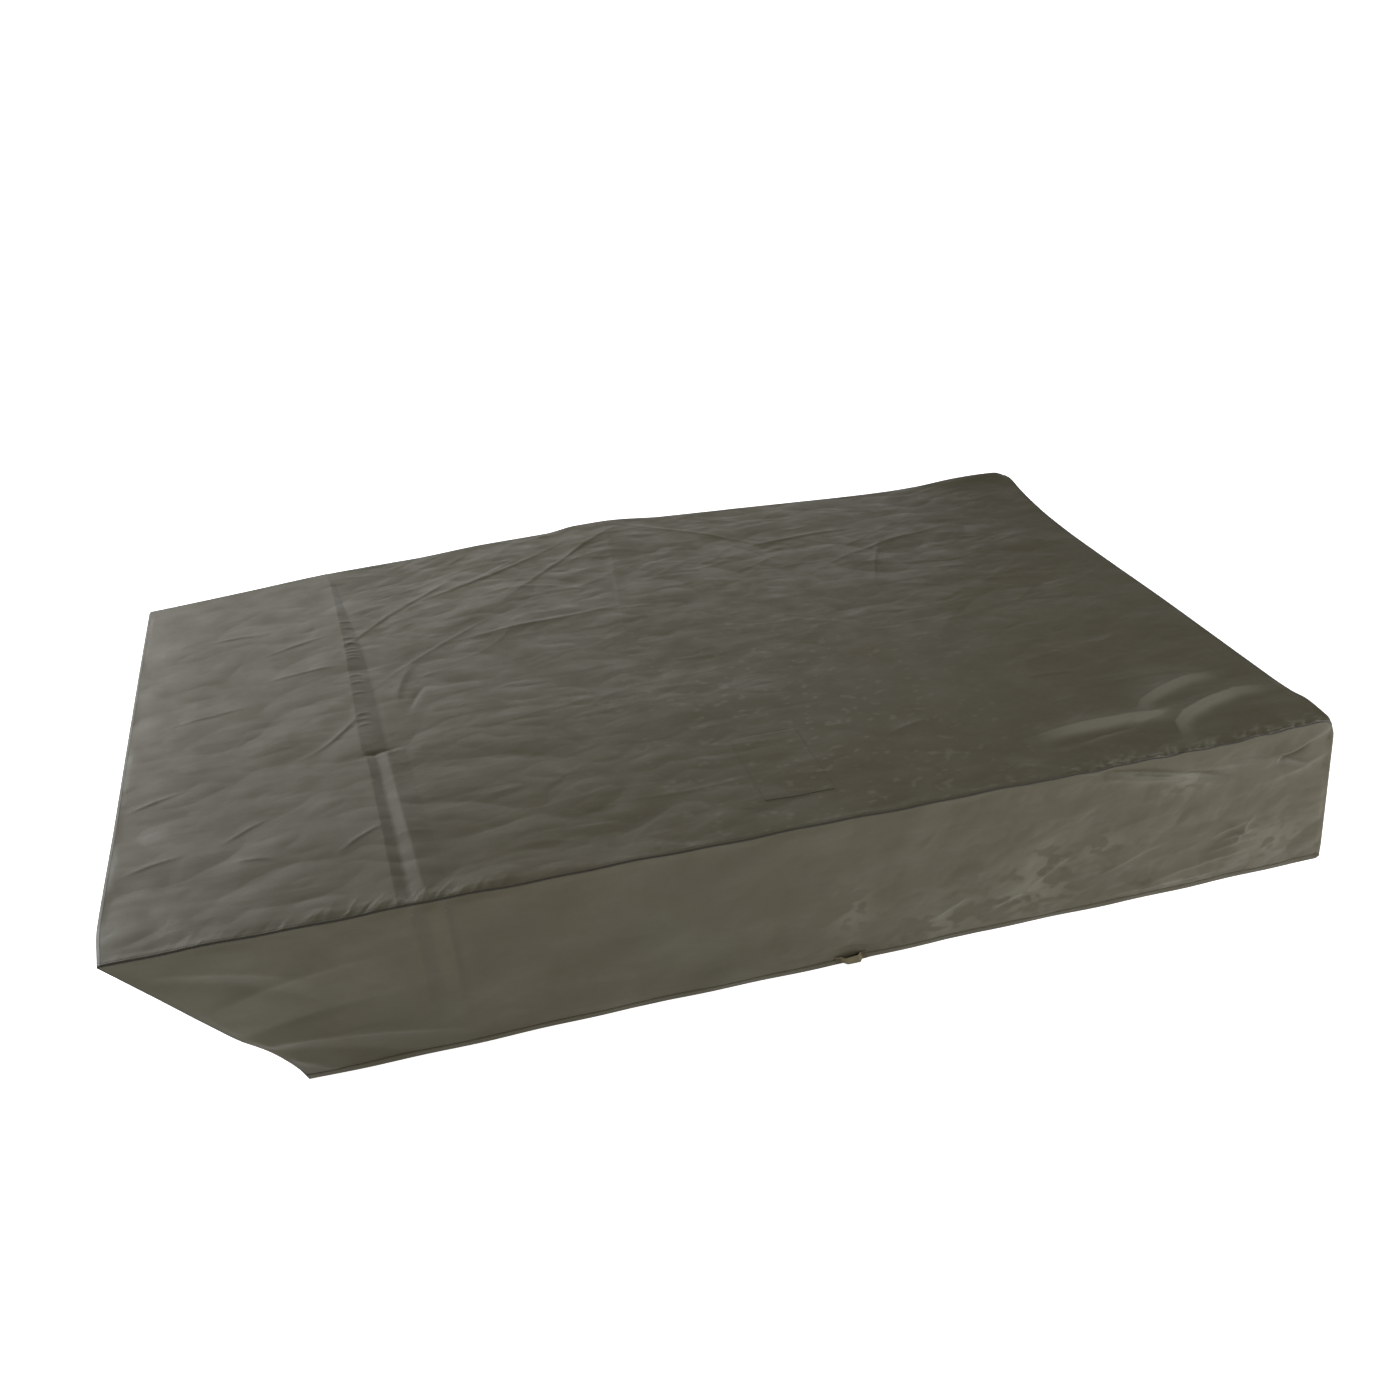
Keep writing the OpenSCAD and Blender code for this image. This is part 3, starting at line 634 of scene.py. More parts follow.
def woven(name, base, pitch, roughness=0.8, strength=0.6, axis="X"):
    """Tape and webbing: ribs across the strip, thread colour variation and a matte face."""
    skin = Skin(name, base, roughness)
    ribs = skin.node("TexWave", {"Vector": skin.place(), "Scale": WAVE_PERIOD / pitch, "Distortion": 0.4},
                     bands_direction=axis)
    threads = skin.noise(700.0, 2.0, 0.6)
    colour = skin.mix(skin.spread(threads, 0.3, 0.7, 0.0, 0.45), base, scaled(base, 0.55))
    patchy = skin.spread(skin.noise(25.0, 3.0, 0.55), 0.4, 0.8, 0.0, 0.35)
    skin.set({"Base Color": skin.mix(patchy, colour, scaled(base, 1.5))})
    height = skin.node("Math", {0: ribs.outputs["Fac"], 1: threads}, operation="ADD")
    skin.bump(height.outputs["Value"], strength, 0.0006)
    return skin.material


def napped(name, base):
    """Hook-and-loop strip: a dense nap of tiny tufts."""
    skin = Skin(name, base, 0.95)
    tufts = skin.node("TexVoronoi", {"Vector": skin.place(), "Scale": 620.0}).outputs["Distance"]
    colour = skin.mix(skin.spread(tufts, 0.0, 0.7, 0.0, 1.0), scaled(base, 1.5), scaled(base, 0.45))
    skin.set({"Base Color": colour, "Sheen Weight": 0.5})
    skin.bump(tufts, 0.9, 0.0008)
    return skin.material


def enamelled(name, base, bright):
    """Dark enamelled zip metal, rubbed bright in places."""
    skin = Skin(name, base, 0.38, 0.75)
    rubbed_and_glint = skin.noise(260.0, 4.0, 0.65)
    skin.set({"Base Color": skin.mix(skin.spread(rubbed_and_glint, 0.55, 0.75, 0.0, 0.7), base, bright),
              "Roughness": skin.spread(rubbed_and_glint, 0.3, 0.8, 0.32, 0.55)})
    skin.bump(skin.noise(900.0, 2.0), 0.15, 0.0002)
    return skin.material


def fibrous(name, base):
    """Thread and zip nylon: fine fibres of two tones."""
    skin = Skin(name, base, 0.6)
    fibre = skin.noise(1500.0, 2.0, 0.6)
    skin.set({"Base Color": skin.mix(skin.spread(fibre, 0.3, 0.7, 0.0, 0.5), base, scaled(base, 0.5))})
    skin.bump(fibre, 0.3, 0.0002)
    return skin.material


OLIVE = (0.0641, 0.0572, 0.0350)
OLIVE_PALE = (0.160, 0.151, 0.115)
OLIVE_WARM = (0.0632, 0.0535, 0.0310)
cloth_skin = coated_taffeta("coated_taffeta", OLIVE, OLIVE_PALE, OLIVE_WARM)
floor_skin = coated_taffeta("floor_taffeta", (0.050, 0.048, 0.036), (0.090, 0.088, 0.074),
                            (0.046, 0.043, 0.031), 0.3, False)
tape_skin = coated_taffeta("seam_tape_film", (0.075, 0.073, 0.060), (0.12, 0.12, 0.105),
                           (0.07, 0.066, 0.052), 0.5, False)
binding_skin = woven("grosgrain_binding", (0.072, 0.067, 0.046), 0.0011)
webbing_skin = woven("ribbed_webbing", (0.115, 0.095, 0.048), 0.0020, 0.85, 0.9)
zip_tape_skin = woven("zip_tape_weave", (0.048, 0.046, 0.034), 0.0009, 0.85, 0.5, "Z")
nap_skin = napped("hook_and_loop_nap", (0.05, 0.049, 0.036))
coil_skin = fibrous("zip_nylon", (0.030, 0.029, 0.023))
thread_skin = fibrous("sewing_thread", (0.050, 0.044, 0.030))
dark_thread = fibrous("seam_shadow_thread", (0.016, 0.014, 0.010))
metal_skin = enamelled("zip_enamel", (0.045, 0.044, 0.040), (0.42, 0.41, 0.38))


# ---- Cloth panels ----

def between(t, low, high):
    """1 between low and high, with soft ends 4 mm wide."""
    return smooth(low - 0.002, low + 0.002, t) * smooth(high + 0.002, high - 0.002, t)


def roof_lines():
    """Distances along the roof of its grid's lines, which are closer together by the pleat."""
    coarse, fine = 0.0034, 0.0024
    start, end = PLEAT_LEFT[-1][1] - 0.03 + HALF, PLEAT_LEFT[0][1] + 0.08 + HALF
    return np.concatenate([np.linspace(0, start, round(start / coarse), endpoint=False),
                           np.linspace(start, end, round((end - start) / fine), endpoint=False),
                           np.linspace(end, ROOF_LEN, round((ROOF_LEN - end) / coarse))])


def make_roof():
    us = roof_lines() / ROOF_LEN
    vs = spaced(ROOF_ACROSS, 0.0030, 0.020, 0.0008) / ROOF_ACROSS
    u, v = np.meshgrid(us, vs, indexing="ij")
    p = roof_base(u, v)
    x, y = p[..., 0], p[..., 1]
    width = 2 * half_w(x) + BACK_BOW * swell(u)
    front, back = v * width, (1 - v) * width
    foot, head = u * ROOF_LEN, (1 - u) * ROOF_LEN
    h, pale = roof_folds(x, y, front, back)
    # The patch sewn underneath shows through as a faint raised rectangle
    patch = between(foot, PATCH_A, PATCH_A + PATCH_LEN) * between(front, PATCH_IN, PATCH_IN + PATCH_W)
    h = h + 0.0006 * patch
    p[..., 2] += h * smooth(0, 0.016, foot) * smooth(0, 0.022, head)
    p[..., 2] -= side_drop(front, back, head) + rounded(foot, EDGE_R) + rounded(head, HEAD_R)
    p[..., 2] += seam_waver(x) * smooth(0.05, 0, front) * smooth(0, 0.05, foot) * smooth(0, 0.05, head)
    # Painted light in the cloth's colour: a little lighter on ridges, as rubbing, and darker in hollows, as
    # painted shade; the painted highlights and pleat shade from the folds; and a painted sheen along the foot
    # edge.
    wear_and_painted_light = np.clip(h / 0.006, -1, 1) * 0.05 + np.clip(pale, -1, 1) + 0.22 * np.exp(-foot / 0.05)
    # Painted shade towards the back of the head end.
    wear_and_painted_light = wear_and_painted_light - 0.25 * smooth(0.35, 0.85, x) * smooth(-0.05, 0.30, y)
    scuffs = rough_at(x, y, (0.014, 0.008), 31)
    worn_edge = np.exp(-front / 0.022) * smooth(0.3, 1.5, scuffs) * (0.25 + 0.8 * smooth(0.3, 0.6, x))
    dust = smooth(1.1, 2.2, rough_at(x, y, (0.016, 0.010), 33)) * bell(x, 0.15, 0.45) * smooth(0.35, -0.2, y)
    wear_and_painted_light = wear_and_painted_light + (0.55 * worn_edge + 0.30 * dust) * smooth(0.002, 0.006, front)
    # Painted shadow line along the roof's front edge at the seam.
    wear_and_painted_light = wear_and_painted_light - 1.3 * smooth(0.0019, 0.0007, front)
    roof = grid_object("roof_cloth", p, "sack", cloth_skin, 0, wear_and_painted_light,
                       lines=(us * ROOF_LEN, vs * ROOF_ACROSS))
    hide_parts("roof_panel")


def foot_edge(s):
    """How far inboard the foot wall's edge is at height share s (0 at the floor, 1 at the roof)."""
    return curve(s, [(0, FOOT_RAKE), (0.09, 0.2375), (0.18, 0.2190), (0.255, 0.2000), (0.31, 0.1820),
                     (0.36, 0.1640), (0.5, 0.1265), (0.75, 0.0635), (1, 0)])


def few(a, b):
    """Share of a side wall's folds kept at (a, b): fewer towards the foot."""
    return 0.25 + 0.75 * float(smooth(0.1, 0.6, a))


def side_wall(label, side, seed):
    """A side wall: a sheet from the roof's edge to the floor, raked at the foot and flared at the head."""
    us = spaced(ROOF_LEN, 0.0038, 0.02, 0.0025) / ROOF_LEN
    ss = 1 - spaced(WALL_UP, 0.0030, 0.012, 0.0008) / WALL_UP
    u, s = np.meshgrid(us, ss, indexing="ij")
    foot_in, head_out = foot_edge(s), HEAD_FLARE * (1 - s)
    x = -HALF + foot_in + u * (ROOF_LEN - foot_in + head_out)
    from_head = (1 - u) * ROOF_LEN
    if side < 0:
        top = roof_plane(u) - 0.0020 + head_lift(0) * smooth(0.16, 0, 1 - u)
        top = top - 0.0075 * bell(from_head, 0, 0.010)
        bow = np.zeros_like(s)
        x = x + 0.007 * smooth(0.25, 0, from_head) * (1 - bell(1 - s, 0, 0.05)) * smooth(0, 0.02, s)
    else:
        top = roof_base(u, 1.0)[..., 2] - 0.010 - 0.0125 * bell(from_head, 0, 0.022)
        bow = BACK_BOW * swell(u) * np.clip((s - 0.125) / 0.875, 0, 1) ** 1.4
    z = s * top
    y = half_w(x) + bow
    f = Folds(x, z)
    loose = 0.35 + 0.65 * smooth(-0.2, 0.6, x)
    f.h += 0.0012 * rough_at(x, z, (0.14, 0.07), seed)
    for height, size, other in ((0.0009, (0.10, 0.070), 1), (0.0004, (0.05, 0.034), 2),
                                (0.00012, (0.022, 0.015), 5)):
        f.h += height * crumpled(x, z, size, seed + other) * loose
    f.scatter(seed + 3, 90, ((-1.0, 1.12), (0.02, 0.33)), 8, 24, (0.04, 0.14), (0.005, 0.012),
              (0.0003, 0.0009), few)
    if side < 0:
        front_wall_folds(f, seed)
    else:
        f.scatter(seed + 4, 60, ((-0.9, 1.0), (0.18, 0.33)), 62, 18, (0.05, 0.16), (0.006, 0.014),
                  (0.001, 0.003))
    edge = np.minimum(np.minimum((1 - s), s) * 0.35, np.minimum(u, 1 - u) * ROOF_LEN)
    h = f.h * smooth(0, 0.02, edge)
    step_in = 0.0012 * smooth(0.0025, 0.0008, (1 - s) * WALL_UP)
    y = y + h - step_in
    waver = seam_waver(x) * smooth(0.86, 1, s) * smooth(0, 0.03, u) * smooth(1, 0.97, u) * (side < 0)
    hem_wave = smooth(0.12, 0, s) * (0.0014 * np.sin(x * 9 + 1) + 0.0008 * np.sin(x * 31))
    p = np.stack([x, side * (y + hem_wave), np.maximum(z + waver, LEAST_Z)], axis=-1)
    # Painted light in the cloth's colour: a little lighter on ridges, as rubbing, and darker in hollows, as
    # painted shade, with the painted highlights of the folds, on top of the wall's scuffs and painted corner
    # shade.
    wear_and_painted_light = np.clip(h / 0.005, -1, 1) * 0.06 + wall_scuffs_and_shade(x, z, side) + f.pale
    # Painted shadow line along the top of the front wall at the seam.
    wear_and_painted_light = wear_and_painted_light - 1.3 * smooth(0.0016, 0.0006, (1 - s) * WALL_UP) * (side < 0)
    wall = grid_object(f"{label}_wall_cloth", p, "sack", cloth_skin, CLOTH_T, wear_and_painted_light, side < 0,
                       (us * ROOF_LEN, (1 - ss) * WALL_UP))
    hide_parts(f"{label}_wall")


def front_wall_folds(f, seed):
    """The single folds of the front wall, in groups."""
    # The roof's double crease running on down the wall and dying out
    for crease in (
            ((-0.645, 0.37), (-0.634, 0.12), 0.007, -0.0036, 0.002, 0.5),
            ((-0.620, 0.37), (-0.608, 0.13), 0.010, 0.0026, 0.002, 0.2),
            ((-0.592, 0.37), (-0.580, 0.14), 0.006, -0.0036, 0.002, -0.5)):
        f.fold(*crease)
    # Drag lines out of the kink in the raked edge
    for crease in (
            ((-0.92, 0.10), (-0.62, 0.055), 0.013, 0.0062, 0.010, 0.5),
            ((-0.90, 0.085), (-0.70, 0.020), 0.012, -0.0052, 0.006, -0.3),
            ((-0.93, 0.125), (-0.70, 0.155), 0.015, -0.0040, 0.006, 0.4),
            ((-0.87, 0.055), (-0.80, 0.010), 0.010, 0.0044, 0.004, 0.2),
            ((-1.03, 0.29), (-0.84, 0.235), 0.012, 0.0034, 0.008, 0.4),
            ((-1.00, 0.27), (-0.80, 0.17), 0.016, -0.0030, 0.010, 0.2),
            ((-0.95, 0.20), (-0.72, 0.245), 0.012, 0.0030, 0.008, 0.2)):
        f.fold(*crease)
    # Folds under the head corner, some with a painted highlight on one flank
    for crease in (
            ((0.58, 0.338), (0.885, 0.272), 0.006, -0.0085, 0.006, 0.6),
            ((0.62, 0.318), (0.84, 0.268), 0.010, 0.0062, 0.008, 0.4, 0.35, 0.20),
            ((0.98, 0.296), (1.09, 0.340), 0.009, 0.0080, -0.006, 0.6, 0.35, 0.12),
            ((0.99, 0.276), (1.06, 0.318), 0.006, -0.0095, -0.004, -0.5),
            ((0.88, 0.306), (1.08, 0.266), 0.008, -0.0075, 0.008, 0.4),
            ((1.00, 0.246), (1.12, 0.290), 0.011, 0.0048, -0.006, 0.3, 0.35, 0.08),
            ((0.70, 0.300), (0.98, 0.296), 0.012, 0.0056, 0.004, 0.3, 0.35, 0.14)):
        f.fold(*crease)
    # Crumples near the hem, with a faint painted highlight on one flank
    for a, b, c, d in ((0.90, 0.125, 0.97, 0.150), (0.92, 0.108, 0.99, 0.122), (0.93, 0.140, 0.98, 0.110),
                       (0.78, 0.040, 0.98, 0.075), (0.70, 0.022, 0.90, 0.030), (0.50, 0.10, 0.57, 0.15),
                       (0.30, 0.065, 0.36, 0.10), (0.42, 0.06, 0.50, 0.085), (0.955, 0.10, 0.975, 0.15),
                       (0.66, 0.09, 0.76, 0.13), (0.90, 0.085, 1.00, 0.100)):
        f.fold((a, b), (c, d), 0.0060, 0.0038, 0.004, 0.6, pale=0.06)
    f.scatter(seed + 9, 26, ((0.25, 1.12), (0.03, 0.30)), 8, 34, (0.03, 0.11), (0.008, 0.016),
              (0.0006, 0.0017))
    f.fold((0.100, 0.036), (0.170, 0.028), 0.003, -0.0030, 0.002, 0.3)


def wall_scuffs_and_shade(x, z, side):
    """Pale scuffed patches low on the wall towards the head, and painted shade darkening the foot corner near
    the ground.
    """
    soft = rough_at(x, z, (0.06, 0.035), 41 if side < 0 else 42)
    crisp = rough_at(x, z, (0.020, 0.012), 43 if side < 0 else 44)
    zone = smooth(0.0, 0.4, x) * smooth(0.30, 0.04, z)
    patches = smooth(-0.2, 1.0, soft + 0.55 * crisp)
    spots = 0.0
    for cx, cz, wx, wz in ((0.51, 0.14, 0.055, 0.055), (0.64, 0.16, 0.045, 0.030), (0.48, 0.07, 0.080, 0.035),
                           (0.12, 0.13, 0.045, 0.050), (0.30, 0.05, 0.060, 0.030), (0.80, 0.27, 0.060, 0.025),
                           (0.82, 0.02, 0.090, 0.018), (1.03, 0.09, 0.050, 0.045)):
        spots = spots + bell(x, cx, wx) * bell(z, cz, wz)
    # Painted shade in the foot corner near the ground.
    corner = -0.30 * smooth(-0.45, -0.85, x) * smooth(0.16, 0.02, z)
    return 0.16 * patches * zone + 0.36 * spots * smooth(-0.4, 0.2, crisp + soft) + corner


make_roof()
side_wall("front", -1, 50)
side_wall("back", 1, 70)


# ---- Ends: the raked foot wall, and the head end in its own leaning frame ----

def head_points(a, y, z):
    """Points of the leaning head end: a outward from it, y across, z up its slope from the roof's edge."""
    x, up = HALF + a * math.cos(LEAN) - z * math.sin(LEAN), HEAD_H + a * math.sin(LEAN) + z * math.cos(LEAN)
    return np.stack(np.broadcast_arrays(x, y, up), axis=-1)


def make_foot_wall():
    ts = spaced(FOOT_SLOPE, 0.008, 0.012, 0.002) / FOOT_SLOPE
    ws = spaced(FOOT_W, 0.010, 0.03, 0.005) / FOOT_W
    s, w = np.meshgrid(1 - ts, ws, indexing="ij")
    x = -HALF + foot_edge(s) - foot_bow(w) * s ** 4
    top = FOOT_H - EDGE_R + back_lift(0) * w ** 2.2 - side_drop(w * FOOT_W, (1 - w) * FOOT_W, ROOF_LEN)
    z = s * (top + 0.0004)
    y = (2 * w - 1) * half_w(x)
    f = Folds(-s * FOOT_SLOPE, y)
    f.h += 0.0016 * rough_at(f.a, f.b, (0.05, 0.12), 61)
    f.scatter(62, 70, ((-FOOT_SLOPE, 0), (-0.57, 0.57)), 90, 26, (0.08, 0.3), (0.009, 0.02), (0.001, 0.003))
    h = f.h * smooth(0, 0.03, np.minimum(np.minimum(s, 1 - s) * FOOT_SLOPE, np.minimum(w, 1 - w) * FOOT_W))
    p = np.stack([x - h * math.cos(RAKE), y, np.maximum(z - h * math.sin(RAKE), LEAST_Z)], axis=-1)
    wall = grid_object("foot_wall_cloth", p, "sack", cloth_skin, CLOTH_T, np.zeros_like(h),
                       True, (ts * FOOT_SLOPE, ws * FOOT_W))
    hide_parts("foot_wall")


def make_floor():
    x0, x1 = -HALF + FOOT_RAKE + 0.001, HALF + HEAD_FLARE - 0.003
    us, ws = np.linspace(0, 1, 170), np.linspace(0, 1, 100)
    u, w = np.meshgrid(us, ws, indexing="ij")
    x = x0 + (x1 - x0) * u
    y = (2 * w - 1) * (half_w(x) - 0.001)
    f = Folds(x, y)
    f.scatter(81, 160, ((x0, x1), (-0.6, 0.6)), 10, 40, (0.1, 0.4), (0.012, 0.03), (0.001, 0.004))
    edge = np.minimum(np.minimum(u, 1 - u) * 2, np.minimum(w, 1 - w) * 1.2)
    z = 0.0012 + np.abs(f.h) * smooth(0, 0.05, edge)
    p = np.stack([x, y, z], axis=-1)
    floor_cloth = grid_object("floor_cloth", p, "sack", floor_skin, TRIM_T)
    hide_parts("floor_panel")


def ground_z(a):
    """Where the head end's slope meets the ground, a outward from it."""
    return -(HEAD_H + a * math.sin(LEAN)) / math.cos(LEAN)


def side_x(z):
    """Half the width of the head end, z up its slope."""
    return half_w(HALF - z * math.sin(LEAN))


SILL_X, SILL_IN = -0.004, 0.0012
SILL_BOTTOM = ground_z(SILL_X) + LEAST_Z
SILL_TOP = ground_z(0) + SILL_H
HINGE_X, HINGE_Z = 0.001, -VALANCE_H + 0.004
FLAP_TOP, FLAP_BOTTOM = HINGE_Z - 0.0008, SILL_TOP - FLAP_LAP
ZIP_Y = HEAD_W / 2 - ZIP_INSET
FLAP_HALF = ZIP_Y - 0.008


def head_panel(name, node, body, half, a, z_top, z_bottom, seed, folds,
               rows=0.006, top_follows=False, bulge=0.0):
    """A cloth panel of the head end, from z_top down to z_bottom, half(z) wide either side of its middle.
    top_follows draws its top edge up and down with the roof's edge."""
    ws, ts = steps(0, 2 * half(0), 0.007), spaced(z_top - z_bottom, rows, 0.012, 0.002)
    w, t = np.meshgrid(ws / ws[-1], ts / ts[-1], indexing="ij")
    z = z_top + (z_bottom - z_top) * t
    y = (2 * w - 1) * half(z)
    if top_follows:
        v = np.clip((y + HEAD_W / 2) / HEAD_W, 0, 1)
        z = z + (head_lift(v) - side_drop(v * HEAD_W, (1 - v) * HEAD_W, 0) - HEAD_R + 0.0005) * (1 - t)
    f = Folds(y, z)
    f.h += 0.0009 * rough_at(f.a, f.b, (0.09, 0.04), seed)
    folds(f, seed)
    edge = np.minimum(np.minimum(w, 1 - w) * 2 * half(0), np.minimum(t, 1 - t) * (z_top - z_bottom))
    h = f.h * smooth(0, 0.014, edge) + bulge * np.sin(math.pi * t) * np.sin(math.pi * w) ** 0.5
    p = head_points(a + h, y, z)
    # Lighter on raised folds, as rubbing, and darker in their hollows, as painted shade.
    wear_and_painted_light = np.clip(h / 0.006, -1, 1) * 0.1
    panel = grid_object(name, p, body, cloth_skin, CLOTH_T, wear_and_painted_light, True, (ws, ts))
    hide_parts(node)


def valance_folds(f, seed):
    f.scatter(seed + 1, 60, ((-0.6, 0.6), (-0.05, 0.0)), 80, 14, (0.02, 0.05), (0.004, 0.008),
              (0.0005, 0.0014))


def flap_folds(f, seed):
    f.scatter(seed + 1, 80, ((-0.57, 0.57), (-0.31, -0.05)), 4, 26, (0.06, 0.3), (0.008, 0.02),
              (0.0006, 0.0022))
    f.scatter(seed + 2, 60, ((-0.57, 0.57), (-0.10, -0.045)), 84, 12, (0.03, 0.08), (0.005, 0.010),
              (0.0006, 0.0016))
    f.fold((-0.57, -0.30), (-0.30, -0.10), 0.016, 0.0030, 0.02, 0.3)
    f.fold((0.56, -0.30), (0.25, -0.12), 0.016, 0.0032, -0.02, 0.3)


def sill_folds(f, seed):
    f.scatter(seed + 1, 40, ((-0.6, 0.6), (-0.36, -0.30)), 10, 30, (0.05, 0.15), (0.006, 0.012),
              (0.0004, 0.0012))


make_foot_wall()
make_floor()
head_panel("valance_cloth", "head_valance", "sack", lambda z: side_x(z) - 0.0006, -0.0006, 0.0,
           -VALANCE_H, 90, valance_folds, rows=0.004, top_follows=True)
head_panel("sill_cloth", "head_sill", "sack", lambda z: side_x(z) - SILL_IN, SILL_X + 0.0016, SILL_TOP,
           SILL_BOTTOM, 94, sill_folds)
head_panel("flap_cloth", "head_flap", "head_flap_body", lambda z: FLAP_HALF, HINGE_X + 0.0004, FLAP_TOP,
           FLAP_BOTTOM, 97, flap_folds, bulge=0.0015)


# ---- Trims: tapes, hems, bindings and strips laid on the panels ----

def wall_along(x, up):
    """Distance along a side wall's grid of the point at x, up metres above the ground."""
    share = up / (FOOT_H + HEAD_H) * 2
    foot_in, head_out = FOOT_RAKE * (1 - share), HEAD_FLARE * (1 - share)
    return (x + HALF - foot_in) / (ROOF_LEN - foot_in + head_out) * ROOF_LEN


def strip(name, node, panel, a, b, out, thick, material, body="sack", flip=False,
          ripple=0.0, seed=1):
    """A sewn-on strip: a grid of distances a and b on a panel, standing off it by out. ripple roughens it."""
    aa, bb = np.meshgrid(a, b, indexing="ij")
    if ripple:
        out = out + ripple * rough(aa.shape, (abs(a[1] - a[0]), abs(b[1] - b[0])), (0.003, 0.003), seed)
    outward_flip = panel not in ("roof_cloth", "back_wall_cloth")
    grid = on_panel(panel, aa, bb, out)
    piece = grid_object(name, grid, body, material, thick, None, outward_flip != flip)
    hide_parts(node)


# Sealing tapes on the inner faces of the panels
INSIDE = -0.0017
TAPE_W, TAPE_END = 0.022, 0.03   # a seam's tape stops short of both its ends


def seam_tape(name, node, panel, a, b):
    strip(name, node, panel, a, b, INSIDE, TRIM_T, tape_skin, flip=True)


def tape_lines(start):
    return steps(start, start + TAPE_W, 0.0022)


for label in ("front", "back"):
    seam_tape(f"{label}_seam_tape", f"seam_tape_{label}", f"{label}_wall_cloth",
              steps(TAPE_END, ROOF_LEN - TAPE_END, 0.01), tape_lines(0.004))
seam_tape("foot_seam_tape", "seam_tape_foot", "foot_wall_cloth", tape_lines(0.006),
          steps(TAPE_END, FOOT_W - TAPE_END, 0.01))
for label, start in (("front", 0.0025), ("back", FOOT_W - 0.0025 - TAPE_W)):
    seam_tape(f"{label}_corner_tape", f"corner_tape_{label}", "foot_wall_cloth", steps(0.038, 0.402, 0.006),
              tape_lines(start))

# Hems
HEM_OUT, HEM_ROW = 0.0007, 0.0022    # stand-off of a hem, and its stitching's distance from its upper edge
sill_down = SILL_TOP - SILL_BOTTOM
flap_down = FLAP_TOP - FLAP_BOTTOM


def hem(name, node, panel, a, b, body="sack"):
    strip(name, node, panel, a, b, HEM_OUT, TRIM_T, cloth_skin, body)


def hem_lines(edge):
    """Distances of a hem's grid lines down a panel whose lower edge is edge down it."""
    return steps(edge - HEM_W, edge, 0.0015)


for label in ("front", "back"):
    hem(f"{label}_hem", f"hem_{label}", f"{label}_wall_cloth", steps(0, ROOF_LEN, 0.005),
        hem_lines(WALL_UP))
hem("foot_hem", "hem_foot", "foot_wall_cloth", hem_lines(FOOT_SLOPE),
    steps(0.001, FOOT_W - 0.001, 0.006))
hem("head_hem", "hem_head", "sill_cloth", steps(0.002, 2 * side_x(0) - 0.006, 0.006),
    hem_lines(sill_down))
hem("flap_hem_fold", "flap_hem", "flap_cloth", steps(0, 2 * FLAP_HALF, 0.006), hem_lines(flap_down),
    "head_flap_body")

# The binding over the flap's hinge seam, and the hook and loop strips
BINDING_W, BINDING_TOP = 0.012, -HINGE_Z - 0.0142
edge_in = side_x(0) - ZIP_Y
strip("hinge_binding", "flap_binding", "valance_cloth", steps(edge_in, 2 * side_x(0) - edge_in, 0.004),
      steps(BINDING_TOP, BINDING_TOP + BINDING_W, 0.0015), 0.0018, 0.0010, binding_skin)

STRIP_W, STRIP_STEP, STRIP_UP = 0.014, 0.0014, 0.004     # STRIP_UP: from the flap's lower edge
strip_top = SILL_TOP - (FLAP_BOTTOM + STRIP_UP + STRIP_W)
hook_top = flap_down - STRIP_UP - STRIP_W
strip_half = FLAP_HALF - 0.030
sill_mid, flap_mid = side_x(0) - SILL_IN, FLAP_HALF
strip("loop_strip_nap", "loop_strip", "sill_cloth",
      steps(sill_mid - strip_half, sill_mid + strip_half, STRIP_STEP),
      steps(strip_top, strip_top + STRIP_W, STRIP_STEP), 0.0010, 0.0009, nap_skin,
      ripple=0.00014, seed=7)
strip("hook_strip_nap", "hook_strip", "flap_cloth",
      steps(flap_mid - strip_half, flap_mid + strip_half, STRIP_STEP),
      steps(hook_top, hook_top + STRIP_W, STRIP_STEP), INSIDE, CLOTH_T, nap_skin,
      "head_flap_body", True, 0.00012, 8)

strip("inner_patch", "roof_patch", "roof_cloth", steps(PATCH_A, PATCH_A + PATCH_LEN, 0.004),
      steps(PATCH_IN, PATCH_IN + PATCH_W, 0.004), -0.0020, CLOTH_T, cloth_skin,
      flip=True)


# ---- Webbing peg loops: a ribbed strap sewn flat at both ends, standing off the hem between them ----

LOOP_LEN, LOOP_W, LOOP_GAP, LOOP_END, LOOP_SLOPE = 0.062, 0.016, 0.007, 0.011, 0.008
LOOP_UP = 0.002          # lower edge of a loop above the hem's
LOOP_X = 0.130           # place of the front and back loops along the sack
RIB_PITCH, SELVEDGE_IN = 0.0016, 0.0006


def beside_hem(side, along, up, out):
    """Points off the hem on one side of the sack: along it from its loop's middle, and up from its edge."""
    if side == "foot":
        return on_panel("foot_wall_cloth", FOOT_SLOPE - up - 0.004, FOOT_W / 2 + along, out)
    if side == "head":
        return on_panel("sill_cloth", sill_mid + along, sill_down - up, out)
    return on_panel(f"{side}_wall_cloth", wall_along(LOOP_X + along, 0.01), WALL_UP - up, out)


